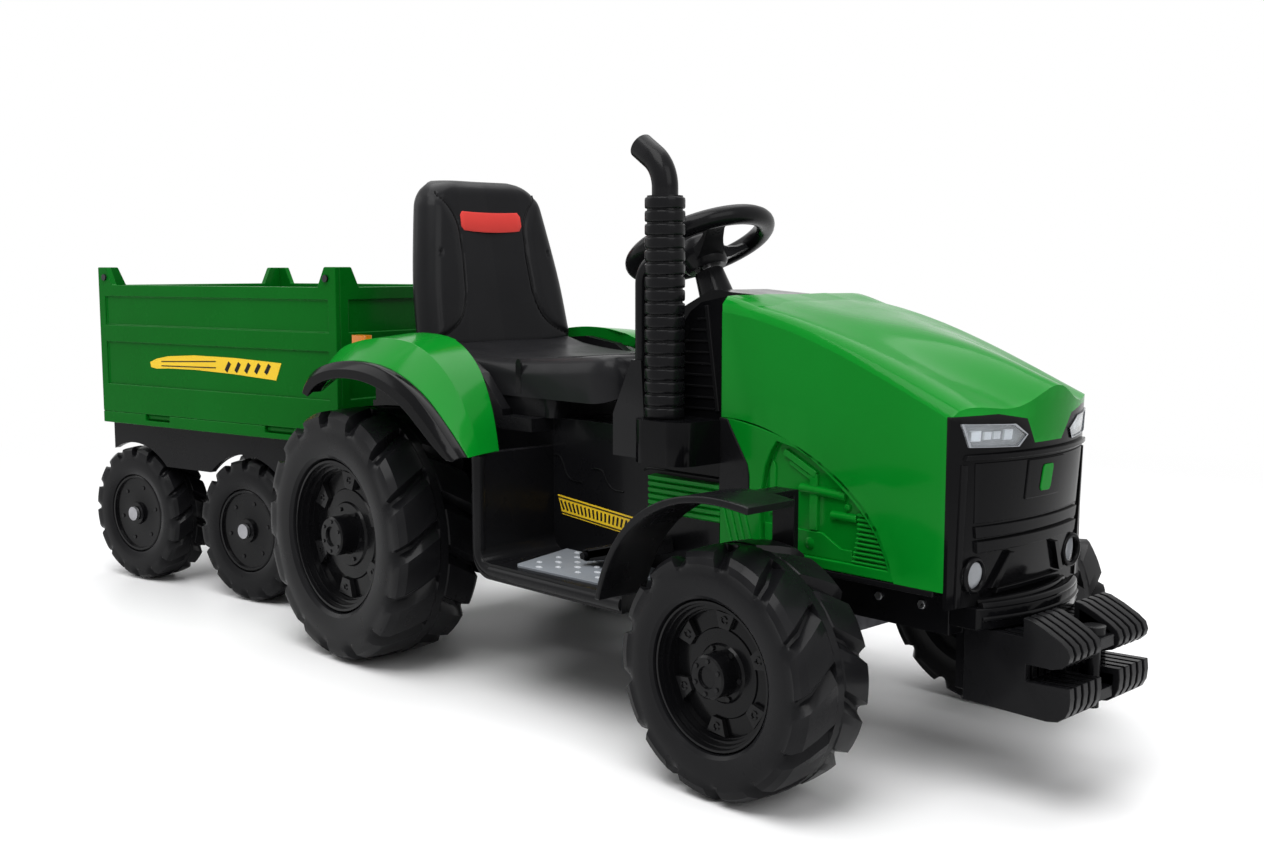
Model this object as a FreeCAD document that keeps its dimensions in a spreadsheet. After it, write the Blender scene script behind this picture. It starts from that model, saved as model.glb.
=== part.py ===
import FreeCAD, Part
import math
import os

import Sketcher

os.makedirs("parts", exist_ok=True)
doc = FreeCAD.newDocument("ride_on_tractor")
sheet = doc.addObject("Spreadsheet::Sheet", "sizes")
V = FreeCAD.Vector

# Sizes in millimetres and degrees. The tractor is drawn from the ground point under its rear axle:
# X forward, Y left, Z up. The trailer is drawn from the ground point under its tow pin.
SIZES = {
    # general
    "overrun": 2.0,
    "fit_gap": 0.1,
    "running_gap": 0.05,
    "loose_gap": 0.3,
    "axle_radius": 6.0,
    "rim_wall": 4.0,
    "rim_disc": 6.0,
    "rim_cap": 8.0,
    # tractor wheels
    "rear_radius": 162.0,
    "rear_face": 274.5,
    "rear_half_width": 64.0,
    "rear_bore": 98.0,
    "rear_hub_share": 0.9,
    "rear_lug": 9.0,
    "rear_groove": 26.0,
    "rear_slant": 20.0,
    "rear_band": 7.0,
    "rear_lug_count": 15,
    "front_radius": 120.6,
    "front_face": 273.0,
    "front_half_width": 51.5,
    "front_bore": 72.6,
    "front_hub_share": 0.72,
    "front_lug": 8.0,
    "front_groove": 22.0,
    "front_slant": 17.0,
    "front_band": 6.0,
    "front_lug_count": 13,
    "wheelbase": 655.0,
    "front_datum": 655.0,
    # main body
    "body_rear": -112.0,
    "body_front": 520.0,
    "body_bottom": 105.0,
    "deck_height": 322.0,
    "deck_front": 380.0,
    "cowl_floor": 322.0,
    "tunnel_half": 108.0,
    "body_wall": 4.0,
    "well_rear": 232.0,
    "well_wall": 14.0,
    "well_front": 488.0,
    "board_half": 222.0,
    "board_bottom": 142.0,
    "board_top": 161.0,
    "well_wall_top": 287.0,
    "well_wall_drop": 35.0,
    "well_outer_round": 30.0,
    "well_inner_round": 18.0,
    "shelf_rear": -95.0,
    "shelf_half": 143.0,
    "shelf_thick": 16.0,
    "side_wall_inner": 130.0,
    "hatch_rear": -48.0,
    "hatch_front": 240.0,
    "hatch_half": 84.0,
    "foot_plate_rear": 268.0,
    "foot_plate_front": 452.0,
    "foot_plate_inner": 109.0,
    "foot_plate_outer": 212.0,
    "foot_plate_thick": 3.0,
    "foot_plate_round": 6.0,
    # seat
    "seat_base_rear": -60.0,
    "seat_base_front": 262.0,
    "seat_base_half": 124.0,
    "seat_base_rise": 23.0,
    "seat_half": 126.0,
    "seat_edge_round": 14.0,
    "seat_skin": 10.0,
    "back_low": 60.0,
    "back_top": 276.0,
    "back_low_rear": -22.0,
    "back_low_front": 20.0,
    "back_low_half": 126.0,
    "back_top_rear": -64.0,
    "back_top_front": -23.0,
    "back_top_half": 95.0,
    "back_corner": 36.0,
    "back_hollow_low": 40.0,
    # power pack
    "battery_rear": 96.0,
    "battery_length": 151.0,
    "battery_half": 32.5,
    "battery_height": 95.0,
    "control_rear": 290.0,
    "control_length": 90.0,
    "control_half": 45.0,
    "control_height": 34.0,
    "gearbox_rear": -34.0,
    "gearbox_front": 88.0,
    "gearbox_bottom": 126.0,
    "gearbox_top": 226.0,
    "gearbox_outer": 142.0,
    "gearbox_round": 16.0,
    "motor_x": 58.0,
    "motor_height": 196.0,
    "motor_radius": 18.0,
    "motor_inner": 44.0,
    "rear_axle_half": 258.0,
    # rear mudguards
    "guard_inner": 143.0,
    "guard_middle": 205.0,
    "guard_outer": 250.0,
    "lip_middle": 263.0,
    "lip_outer": 270.0,
    "guard_trim_rear": 100.0,
    "guard_trim_front": 300.0,
    "tail_rear": -110.0,
    "tail_front": -80.0,
    "tail_inner": 150.0,
    "tail_outer": 168.0,
    "tail_bottom": 391.0,
    "tail_top": 411.0,
    # front mudguards
    "arch_inner": 198.0,
    "arch_outer": 266.0,
    "strut_rear": 636.0,
    "strut_front": 664.0,
    "strut_outer": 157.0,
    "strut_inner": 150.0,
    "strut_foot": 190.0,
    "strut_foot_thick": 7.0,
    # bonnet and nose
    "bonnet_half": 120.0,
    "bonnet_wall": 4.0,
    "bonnet_shoulder": 10.0,
    "bonnet_corner": 7.0,
    "bonnet_crown": 1.5,
    "nose_side_x": 815.0,
    "nose_tip_low_x": 825.0,
    "nose_tip_high_x": 868.0,
    "nose_top": 500.0,
    "bonnet_bottom": 203.0,
    "grille_start": 811.0,
    "grille_end": 900.0,
    "grille_bottom": 187.0,
    "grille_wall": 8.0,
    "lens_depth": 5.0,
    "fog_y": 88.0,
    "fog_height": 217.0,
    "fog_radius": 13.0,
    "vent_rear": 422.0,
    "vent_bottom": 230.0,
    "vent_top": 272.0,
    "vent_outer": 120.0,
    # front frame, bumper and weights
    "frame_front": 800.0,
    "frame_half": 92.0,
    "frame_bottom": 156.0,
    "frame_plate": 6.0,
    "carrier_half": 70.0,
    "carrier_bottom": 100.0,
    "bumper_bottom": 166.0,
    "bumper_half": 92.0,
    "bumper_side_x": 830.0,
    "bumper_tip_x": 852.0,
    "weight_inner": 17.0,
    "weight_rib": 8.4,
    "weight_pitch": 12.4,
    "weight_rib_count": 5,
    "hook_half": 14.0,
    "hook_rear": 806.0,
    "hook_body_front": 878.0,
    "hook_front": 912.0,
    "hook_bottom": 100.0,
    "hook_top": 160.0,
    "hook_ear": 11.0,
    "hook_pin_x": 898.0,
    "hook_pin_radius": 7.0,
    "hook_pin_low": 90.0,
    "hook_knob_radius": 11.0,
    "hook_knob": 8.0,
    # cowl and steering column
    "cowl_front": 533.0,
    "cowl_half": 118.0,
    "pod_half": 48.0,
    "pod_reach": 35.0,
    "cowl_wall": 6.0,
    "wheel_x": 386.0,
    "wheel_z": 528.0,
    "column_angle": 25.0,
    "column_drop": 72.8,
    "column_length": 38.0,
    "column_low_radius": 21.0,
    "column_high_radius": 17.0,
    "shaft_radius": 8.0,
    "shaft_top": 8.0,
    "shaft_bottom": 417.0,
    "shaft_passage": 13.0,
    "steer_ring": 80.0,
    "steer_grip": 11.5,
    "steer_hub_radius": 25.0,
    "steer_hub_low": 32.0,
    "steer_hub_high": 8.0,
    "steer_spoke_half": 11.0,
    "steer_spoke_low": 10.0,
    "steer_spoke_high": 2.0,
    "horn_radius": 16.0,
    "horn_depth": 7.0,
    "horn_gap": 3.0,
    "horn_rise": 5.0,
    "crank_reach": 23.4,
    "crank_half": 6.0,
    "crank_pin_radius": 4.0,
    "crank_pin_length": 26.0,
    "button_y": 24.0,
    "button_height": 400.0,
    "button_radius": 9.0,
    "button_rise": 6.0,
    "button_depth": 12.0,
    "rocker_half_width": 8.0,
    "rocker_half_height": 13.0,
    "rocker_rise": 5.0,
    "rocker_depth": 9.0,
    "rocker_gap": 2.0,
    "rocker_pivot": 3.5,
    "rocker_pin_radius": 1.8,
    "rocker_pin": 3.0,
    # front axle and steering linkage
    "kingpin_y": 160.0,
    "kingpin_radius": 5.0,
    "axle_beam_half": 12.0,
    "axle_beam_end": 145.0,
    "axle_beam_bottom": 92.0,
    "axle_arch_half": 126.0,
    "axle_arch": 128.0,
    "axle_ear_share": 0.9,
    "axle_ear": 9.0,
    "axle_ear_radius": 11.0,
    "knuckle_radius": 10.5,
    "knuckle_gap": 0.4,
    "stub_end": 258.0,
    "arm_length": 60.0,
    "arm_inset": 12.0,
    "arm_bottom": 124.0,
    "arm_thick": 8.0,
    "arm_half": 7.0,
    "arm_pin_radius": 4.0,
    "rod_bottom": 106.0,
    "rod_top": 114.0,
    "rod_slot_rear": 6.0,
    "rod_slot_front": 10.6,
    "rod_slot_half": 5.4,
    "fork_rear": 530.0,
    "fork_front": 562.0,
    "fork_inner": 5.3,
    "fork_outer": 10.5,
    "fork_top": 134.0,
    # exhaust and hand rail
    "stack_x": 478.0,
    "stack_y": 150.0,
    "stack_radius": 21.5,
    "stack_core": 18.0,
    "stack_bottom": 342.0,
    "stack_ring": 11.0,
    "stack_pitch": 13.8,
    "stack_count": 17,
    "exhaust_box_rear": 454.0,
    "exhaust_box_front": 533.0,
    "exhaust_box_outer": 182.0,
    "exhaust_box_bottom": 296.0,
    "exhaust_box_round": 22.0,
    "tip_radius": 14.0,
    "tip_bore": 11.5,
    "tip_rise": 8.0,
    "tip_bend": 40.0,
    "tip_turn": 56.0,
    "tip_straight": 22.0,
    "rail_radius": 6.5,
    "rail_x": 442.0,
    "rail_top": 510.0,
    "rail_bend": 26.0,
    "rail_low": 396.0,
    "rail_foot_rear": 405.0,
    # pedal
    "pedal_rear": 360.0,
    "pedal_y": 137.0,
    "pedal_half": 21.0,
    "pedal_length": 100.0,
    "pedal_thick": 8.0,
    "pedal_tilt": 15.0,
    "pedal_height": 176.0,
    "pedal_pin_radius": 4.0,
    "pedal_barrel": 7.0,
    "pedal_ear": 6.0,
    "pedal_ear_half": 8.0,
    "pedal_ear_rise": 9.0,
    # tow bar
    "hitch_back": 290.0,
    "tow_bar_half": 20.0,
    "tow_bar_bottom": 148.0,
    "tow_bar_top": 162.0,
    "tow_pin_radius": 8.0,
    "tow_flange_radius": 14.0,
    "tow_flange": 6.0,
    "tow_pin_top": 235.0,
    # trailer
    "trailer_turn": 11.6,
    "box_rear": 441.0,
    "box_front": 102.0,
    "box_half": 188.0,
    "box_wall": 9.0,
    "box_recess": 3.0,
    "floor_bottom": 255.0,
    "floor_top": 263.0,
    "panel_bottom": 273.0,
    "panel_top": 475.0,
    "tab_top": 503.0,
    "tab_length": 36.0,
    "tab_tip": 22.0,
    "panel_border": 16.0,
    "panel_rail": 18.0,
    "panel_foot": 45.0,
    "panel_rib": 27.0,
    "panel_rib_height": 412.0,
    "lip_gap": 8.0,
    "lip_rear_front": 332.0,
    "lip_middle_rear": 273.0,
    "lip_middle_front": 52.0,
    "lip_front_rear": 11.0,
    "bolt_radius": 5.0,
    "bolt_head": 3.0,
    "bolt_inset": 18.0,
    "bolt_height": 487.0,
    "t_radius": 108.0,
    "t_face": 177.0,
    "t_half_width": 35.0,
    "t_bore": 62.0,
    "t_hub_share": 0.9,
    "t_lug": 6.0,
    "t_groove": 13.0,
    "t_slant": 11.0,
    "t_band": 5.0,
    "t_lug_count": 16,
    "t_front_axle": 117.0,
    "t_rear_axle": 385.0,
    "t_axle_half": 180.6,
    "t_nut_radius": 11.0,
    "t_nut": 5.0,
    "t_frame_rear": 437.0,
    "t_frame_front": 60.0,
    "t_frame_half": 172.0,
    "t_frame_nose_half": 118.0,
    "t_frame_bottom": 190.0,
    "t_frame_plate": 7.0,
    "t_skirt": 10.0,
    "t_arch": 115.0,
    "t_hanger_half": 18.0,
    "t_hanger_inner": 86.0,
    "t_hanger_outer": 97.0,
    "t_hanger_drop": 14.0,
    "t_boss_radius": 24.0,
    "t_boss_bottom": 170.0,
}

# Outlines, as numbered pairs of cells.
OUTLINES = {
    # tyre section: share of the height from bore to tread, share of the half width
    "tyre_share": [(0.0, 0.80), (0.08, 0.95), (0.30, 1.0), (0.60, 0.99), (0.80, 0.93), (0.92, 0.80),
                   (0.98, 0.60), (1.0, 0.30)],
    # tyre hollow, open at the bore, in the same shares
    "hollow_share": [(0.0, 0.62), (0.30, 0.82), (0.60, 0.81), (0.70, 0.70), (0.74, 0.30)],
    # rim section: share of the bore radius, share of the half width
    "rim_share": [(0.92, 0.80), (0.88, 0.62), (0.55, 0.60), (0.50, 0.70), (0.32, 0.70), (0.28, 0.95)],
    # walls beside the seat, heights from the deck
    "side_wall": [(-88.0, 40.0), (-74.0, 64.0), (-34.0, 78.0), (36.0, 83.0), (98.0, 75.0), (148.0, 50.0),
                  (190.0, 8.0), (190.0, 0.0), (-88.0, 0.0)],
    # seat cushion and its hollow, heights from the seat's floor
    "cushion_front": [(330.0, 0.0), (366.0, 11.0), (374.0, 37.0), (356.0, 57.0), (270.0, 52.0)],
    "cushion_rear": [(150.0, 43.0), (60.0, 49.0), (22.0, 65.0), (-22.0, 65.0), (-22.0, 0.0)],
    "cushion_hollow_front": [(322.0, -5.0), (356.0, 15.0), (362.0, 35.0), (350.0, 46.0), (270.0, 41.0)],
    "cushion_hollow_rear": [(150.0, 32.0), (60.0, 38.0), (16.0, 52.0), (-12.0, 52.0), (-12.0, -5.0)],
    "guard_trim": [(140.0, 400.0), (150.0, 400.0), (188.0, 284.0), (140.0, 284.0)],
    "guard_inner_top": [(-98.0, 360.0), (-82.0, 396.0), (-34.0, 412.0), (36.0, 418.0), (104.0, 410.0),
                        (160.0, 382.0), (206.0, 336.0), (240.0, 287.0)],
    "guard_inner_low": [(222.0, 287.0), (192.0, 326.0), (150.0, 368.0), (98.0, 394.0), (36.0, 402.0),
                        (-30.0, 397.0), (-68.0, 384.0), (-82.0, 360.0)],
    "guard_middle_top": [(-98.0, 356.0), (-84.0, 388.0), (-36.0, 404.0), (36.0, 411.0), (108.0, 403.0),
                         (168.0, 375.0), (218.0, 332.0), (252.0, 287.0)],
    "guard_middle_low": [(234.0, 287.0), (204.0, 320.0), (158.0, 360.0), (102.0, 386.0), (36.0, 394.0),
                         (-32.0, 388.0), (-70.0, 374.0), (-82.0, 356.0)],
    "guard_outer_top": [(-68.0, 348.0), (-56.0, 364.0), (-22.0, 379.0), (40.0, 387.0), (112.0, 380.0),
                        (178.0, 354.0), (228.0, 318.0), (264.0, 287.0)],
    "guard_outer_low": [(246.0, 287.0), (214.0, 306.0), (168.0, 338.0), (106.0, 363.0), (40.0, 370.0),
                        (-14.0, 363.0), (-40.0, 352.0), (-50.0, 342.0)],
    "lip_outer_top": [(-66.0, 340.0), (-54.0, 355.0), (-22.0, 369.0), (40.0, 377.0), (112.0, 370.0),
                      (178.0, 344.0), (228.0, 309.0), (260.0, 283.0)],
    "lip_outer_low": [(248.0, 283.0), (214.0, 302.0), (168.0, 333.0), (106.0, 358.0), (40.0, 365.0),
                      (-14.0, 358.0), (-40.0, 347.0), (-52.0, 336.0)],
    "arch_top": [(493.0, 166.0), (501.0, 192.0), (528.0, 238.0), (566.0, 269.0), (612.0, 286.0),
                 (656.0, 290.0), (700.0, 286.0)],
    "arch_low": [(698.0, 279.0), (656.0, 283.0), (613.0, 279.0), (570.0, 262.0), (534.0, 233.0),
                 (508.0, 190.0), (500.0, 166.0)],
    # bonnet sections: station, shoulder height; crease half width, crease height; centre height
    "bonnet_station": [(533.0, 465.0), (600.0, 454.0), (671.0, 433.0), (740.0, 406.0), (800.0, 380.0),
                       (870.0, 350.0)],
    "bonnet_crease": [(100.0, 468.0), (96.0, 457.0), (90.0, 438.0), (80.0, 414.0), (68.0, 390.0),
                      (52.0, 364.0)],
    "bonnet_centre": [(533.0, 470.0), (600.0, 460.0), (671.0, 446.0), (740.0, 430.0), (800.0, 411.0),
                      (870.0, 386.0)],
    "seam": [(530.0, 345.0), (547.0, 345.0), (616.0, 331.0), (680.0, 296.0), (723.0, 260.0),
             (747.0, 225.0), (757.0, 200.0)],
    "lip_line": [(130.0, 366.0), (76.0, 368.0), (40.0, 362.0), (24.0, 338.0)],
    "headlight": [(112.0, 360.0), (56.0, 358.0), (38.0, 347.0), (48.0, 336.0), (104.0, 338.0)],
    "weight": [(806.0, 92.0), (904.0, 91.0), (915.0, 100.0), (917.0, 126.0), (872.0, 124.0), (872.0, 140.0),
               (900.0, 140.0), (915.0, 150.0), (914.0, 162.0), (896.0, 172.0), (872.0, 183.0), (868.0, 183.0),
               (868.0, 165.0), (806.0, 165.0)],
    "weight_core": [(806.0, 96.0), (902.0, 96.0), (910.0, 103.0), (911.0, 121.0), (867.0, 119.0),
                    (867.0, 145.0), (899.0, 145.0), (909.0, 152.0), (909.0, 159.0), (893.0, 168.0),
                    (874.0, 177.0), (873.0, 177.0), (873.0, 160.0), (806.0, 160.0)],
    "cowl_side": [(430.0, 322.0), (433.0, 373.0), (455.0, 420.0), (485.0, 455.0), (501.0, 465.0),
                  (533.0, 471.0), (533.0, 322.0)],
    "cowl_hollow": [(440.0, 320.0), (443.0, 370.0), (464.0, 414.0), (491.0, 446.0), (505.0, 456.0),
                    (527.0, 462.0), (527.0, 320.0)],
    "rod_half": [(530.0, 50.0), (584.0, 161.0), (614.0, 161.0), (614.0, 135.0), (592.0, 135.0),
                 (550.0, 44.0)],
    "pod_hollow": [(392.0, 320.0), (392.0, 440.0), (446.0, 465.0), (527.0, 460.0), (527.0, 320.0)],
}


class Size:
    """A size with its number and its sheet expression."""

    def __init__(self, value, text):
        self.value = float(value)
        self.text = text

    def __add__(self, other):
        other = as_size(other)
        return Size(self.value + other.value, "(%s + %s)" % (self.text, other.text))

    def __sub__(self, other):
        other = as_size(other)
        return Size(self.value - other.value, "(%s - %s)" % (self.text, other.text))

    def __mul__(self, other):
        other = as_size(other)
        return Size(self.value * other.value, "(%s * %s)" % (self.text, other.text))

    def __truediv__(self, other):
        other = as_size(other)
        return Size(self.value / other.value, "(%s / %s)" % (self.text, other.text))

    def __neg__(self):
        return Size(-self.value, "(0 - %s)" % self.text)

    def sine(self):
        return Size(math.sin(math.radians(self.value)), "sin(%s)" % self.text)

    def cosine(self):
        return Size(math.cos(math.radians(self.value)), "cos(%s)" % self.text)


def as_size(item):
    return item if isinstance(item, Size) else Size(item, repr(float(item)))


class Sheet:
    """The sheet's cells by alias."""


S = Sheet()
cell_rows = iter(range(1, 100000))


def add_cell(alias, number):
    row = next(cell_rows)
    sheet.set("A%d" % row, alias)
    sheet.set("B%d" % row, str(number))
    sheet.setAlias("B%d" % row, alias)
    setattr(S, alias, Size(number, "sizes." + alias))


for alias, number in SIZES.items():
    add_cell(alias, number)
for group, pairs in OUTLINES.items():
    for index, pair in enumerate(pairs):
        add_cell("%s_u%d" % (group, index), pair[0])
        add_cell("%s_v%d" % (group, index), pair[1])
doc.recompute()


def outline(group):
    return [(getattr(S, "%s_u%d" % (group, i)), getattr(S, "%s_v%d" % (group, i)))
            for i in range(len(OUTLINES[group]))]


def raised(group, height):
    """An outline whose heights are measured from the given one."""
    return [(u, v + height) for u, v in outline(group)]


def numbers(group):
    return [(u.value, v.value) for u, v in outline(group)]


# Where the tractor's and the trailer's own origins stand in the part's frame.
t_centre = S.t_face - S.t_half_width
tread = S.t_bore + (S.t_radius - S.t_bore) * S.tyre_share_u6
rear_reach = (S.hitch_back + (S.t_rear_axle + tread) * S.trailer_turn.cosine()
              + (t_centre + S.t_half_width * S.tyre_share_v6) * S.trailer_turn.sine())
# The front half is drawn about the datum and moves with the wheelbase.
stretch = S.wheelbase - S.front_datum
shift = (rear_reach - S.weight_u3 - stretch) / 2.0


def bind(item, name, size):
    item.setExpression(name, as_size(size).text)


def place(item, x=None, y=None, z=None, axis=None, turn=None):
    if axis is not None:
        item.Placement = FreeCAD.Placement(V(), FreeCAD.Rotation(axis, turn.value))
        bind(item, "Placement.Rotation.Angle", turn)
    for name, size in (("x", x), ("y", y), ("z", z)):
        if size is not None:
            bind(item, "Placement.Base." + name, size)
    return item


NODES = []


def node(name, solids, x=None, y=None, z=None, axis=None, turn=None):
    group = doc.addObject("Part::Compound", name)
    group.Label = name
    group.Links = solids
    place(group, x, y, z, axis, turn)
    NODES.append(group)
    return group


def tractor_node(name, solids):
    return node(name, solids, x=shift)


def front_node(name, solids):
    return node(name, solids, x=shift + stretch)


def trailer_node(name, solids):
    return node(name, solids, x=shift - S.hitch_back, axis=V(0, 0, 1), turn=S.trailer_turn)


def column_node(name, solids):
    return node(name, solids, x=shift + stretch + S.wheel_x, z=S.wheel_z, axis=V(0, -1, 0),
                turn=S.column_angle)


def origin(body, role):
    return [item for item in body.Origin.OriginFeatures if item.Role == role][0]


def draw(body, plane, loops, offset):
    item = body.newObject("Sketcher::SketchObject", "outline")
    item.AttachmentSupport = [(origin(body, plane + "_Plane"), "")]
    item.MapMode = "FlatFace"
    bind(item, "AttachmentOffset.Base.z", offset)
    start = 0
    for points in loops:
        count = len(points)
        for i in range(count):
            p = points[i]
            q = points[(i + 1) % count]
            item.addGeometry(Part.LineSegment(V(p[0].value, p[1].value, 0), V(q[0].value, q[1].value, 0)),
                             False)
        for i in range(count):
            item.addConstraint(Sketcher.Constraint("Coincident", start + i, 2, start + (i + 1) % count, 1))
        for i in range(count):
            for kind, size in zip(("DistanceX", "DistanceY"), points[i]):
                index = item.addConstraint(Sketcher.Constraint(kind, -1, 1, start + i, 1, size.value))
                bind(item, "Constraints[%d]" % index, size)
        start += count
    return item


def pairs_of(points):
    return [(as_size(u), as_size(v)) for u, v in points]


def slab(body, plane, points, low, high):
    """Pad an outline between two heights along the plane's own axis."""
    low = as_size(low)
    high = as_size(high)
    offset = -high if plane == "XZ" else low
    profile = draw(body, plane, [pairs_of(points)], offset)
    pad = body.newObject("PartDesign::Pad", "pad")
    pad.Profile = profile
    bind(pad, "Length", high - low)
    body.Tip = pad
    return pad


def recess(body, plane, loops, low, high):
    """Cut outlines between two heights along the plane's own axis."""
    low = as_size(low)
    high = as_size(high)
    offset = -low if plane == "XZ" else high
    profile = draw(body, plane, [pairs_of(points) for points in loops], offset)
    pocket = body.newObject("PartDesign::Pocket", "pocket")
    pocket.Profile = profile
    bind(pocket, "Length", high - low)
    body.Tip = pocket
    return pocket


def new_body(name):
    return doc.addObject("PartDesign::Body", name)


def rect(u0, u1, v0, v1):
    return [(u0, v0), (u1, v0), (u1, v1), (u0, v1)]


def round_edges(body, radius, pick):
    doc.recompute()
    tip = body.Tip
    names = ["Edge%d" % (i + 1) for i, edge in enumerate(tip.Shape.Edges) if pick(edge)]
    item = body.newObject("PartDesign::Fillet", "fillet")
    item.Base = (tip, names)
    bind(item, "Radius", radius)
    body.Tip = item
    return item


def along(edge, axis):
    line = edge.lastVertex().Point - edge.firstVertex().Point if len(edge.Vertexes) == 2 else V()
    return line.Length > 0 and abs(abs(line.dot(axis)) - line.Length) < line.Length * 1e-6


def spin(body, points):
    """Turn an outline of radius and height along Y about the Y axis."""
    profile = draw(body, "XY", [pairs_of(points)], as_size(0))
    item = body.newObject("PartDesign::Revolution", "revolution")
    item.Profile = profile
    item.ReferenceAxis = (profile, ["V_Axis"])
    item.Angle = 360
    body.Tip = item
    return item


def ring_pattern(body, feature, count):
    item = body.newObject("PartDesign::PolarPattern", "ring_pattern")
    item.Originals = [feature]
    item.Axis = (origin(body, "Y_Axis"), [""])
    item.Angle = 360
    bind(item, "Occurrences", count)
    body.Tip = item
    return item


def row_pattern(body, feature, role, pitch, count):
    item = body.newObject("PartDesign::LinearPattern", "row_pattern")
    item.Originals = [feature]
    item.Direction = (origin(body, role), [""])
    bind(item, "Length", pitch * (count - 1.0))
    bind(item, "Occurrences", count)
    body.Tip = item
    return item


def box(name, x0, x1, y0, y1, z0, z1):
    item = doc.addObject("Part::Box", name)
    x0, x1, y0, y1, z0, z1 = [as_size(size) for size in (x0, x1, y0, y1, z0, z1)]
    bind(item, "Length", x1 - x0)
    bind(item, "Width", y1 - y0)
    bind(item, "Height", z1 - z0)
    return place(item, x0, y0, z0)


TURNS = {"X": (V(0, 1, 0), 90.0), "Y": (V(-1, 0, 0), 90.0)}


def rod(name, direction, radius, low, high, a, b):
    """A cylinder along X, Y or Z from low to high; a and b are its other two coordinates in order."""
    item = doc.addObject("Part::Cylinder", name)
    low = as_size(low)
    high = as_size(high)
    bind(item, "Radius", radius)
    bind(item, "Height", high - low)
    if direction in TURNS:
        item.Placement = FreeCAD.Placement(V(), FreeCAD.Rotation(*TURNS[direction]))
    where = {"X": (low, a, b), "Y": (a, low, b), "Z": (a, b, low)}[direction]
    return place(item, *[as_size(size) for size in where])


def fuse(name, items):
    item = doc.addObject("Part::MultiFuse", name)
    item.Shapes = items
    item.Refine = True
    return item


def cut(name, base, tools):
    tool = tools[0]
    if len(tools) > 1:
        tool = doc.addObject("Part::Compound", name + "_tools")
        tool.Links = tools
    item = doc.addObject("Part::Cut", name)
    item.Base = base
    item.Tool = tool
    return item


def common(name, items):
    item = doc.addObject("Part::MultiCommon", name)
    item.Shapes = items
    return item


def mirror(name, source):
    item = doc.addObject("Part::Mirroring", name)
    item.Source = source
    item.Normal = V(0, 1, 0)
    return item


def feature(name, shape):
    item = doc.addObject("Part::Feature", name)
    item.Shape = shape
    return item


def spline(points):
    curve = Part.BSplineCurve()
    curve.interpolate(points)
    return curve.toShape()


def band_wire(top, low, y):
    """A closed band in the XZ plane at y: a curve out, an end, a curve back and an end."""
    upper = [V(x, y, z) for x, z in top]
    lower = [V(x, y, z) for x, z in low]
    return Part.Wire([spline(upper), Part.makeLine(upper[-1], lower[0]), spline(lower),
                      Part.makeLine(lower[-1], upper[0])])


# Wheels, each drawn about its own centre with its outer face towards -Y.
def tyre(name, radius, half_width, bore, lug, groove, slant, band, count):
    body = new_body(name + "_body")
    shares = outline("tyre_share")
    near = [(bore + (radius - bore) * u, -half_width * v) for u, v in shares]
    far = [(bore + (radius - bore) * u, half_width * v) for u, v in reversed(shares)]
    hollow = outline("hollow_share")
    inner = [(bore + (radius - bore) * u, half_width * v) for u, v in hollow]
    inner += [(bore + (radius - bore) * u, -half_width * v) for u, v in reversed(hollow)]
    spin(body, near + far + inner)
    pitch = Size(180.0, "180") / count
    step = radius * pitch.sine()
    reach = half_width + S.overrun
    half = groove / 2.0
    one = [(-half, band), (half, band), (half + slant, reach), (slant - half, reach)]
    two = [(step - half, -band), (step - half + slant, -reach), (step + half + slant, -reach),
           (step + half, -band)]
    pocket = recess(body, "XY", [one, two], radius - lug, radius + S.overrun)
    ring_pattern(body, pocket, count)
    return body


def rim(name, half_width, bore, hub_share, closed):
    body = new_body(name + "_body")
    shares = outline("rim_share")
    outer = bore - S.fit_gap
    hole = S.axle_radius + S.running_gap
    edge_share = shares[0][1]
    hub_radius = bore * shares[4][0]
    barrel = bore * shares[1][0] - S.rim_wall
    disc = half_width * shares[2][1] - S.rim_disc
    cap = half_width * shares[5][1]
    points = [(outer, -half_width * edge_share)] + [(bore * u, -half_width * v) for u, v in shares]
    if closed:
        points += [(as_size(0), -cap), (as_size(0), S.rim_cap - cap), (hole, S.rim_cap - cap)]
    else:
        points += [(hole, -cap)]
    points += [(hole, half_width * hub_share), (hub_radius, half_width * hub_share), (hub_radius, -disc),
               (barrel, -disc), (barrel, half_width * edge_share), (outer, half_width * edge_share)]
    spin(body, points)
    return body


def wheel_node(name, solids, x, y, z, turned):
    if turned:
        return node(name, solids, x, y, z, V(0, 0, 1), Size(180.0, "180"))
    return node(name, solids, x, y, z)


rear_tyre = tyre("rear_tyre", S.rear_radius, S.rear_half_width, S.rear_bore, S.rear_lug, S.rear_groove,
                 S.rear_slant, S.rear_band, S.rear_lug_count)
front_tyre = tyre("front_tyre", S.front_radius, S.front_half_width, S.front_bore, S.front_lug,
                  S.front_groove, S.front_slant, S.front_band, S.front_lug_count)
trailer_tyre = tyre("trailer_tyre", S.t_radius, S.t_half_width, S.t_bore, S.t_lug, S.t_groove, S.t_slant,
                    S.t_band, S.t_lug_count)
rear_rim = rim("rear_rim", S.rear_half_width, S.rear_bore, S.rear_hub_share, True)
front_rim = rim("front_rim", S.front_half_width, S.front_bore, S.front_hub_share, True)
trailer_rim = rim("trailer_rim", S.t_half_width, S.t_bore, S.t_hub_share, False)
rear_centre = S.rear_face - S.rear_half_width
front_centre = S.front_face - S.front_half_width
front_x = shift + S.wheelbase
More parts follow.
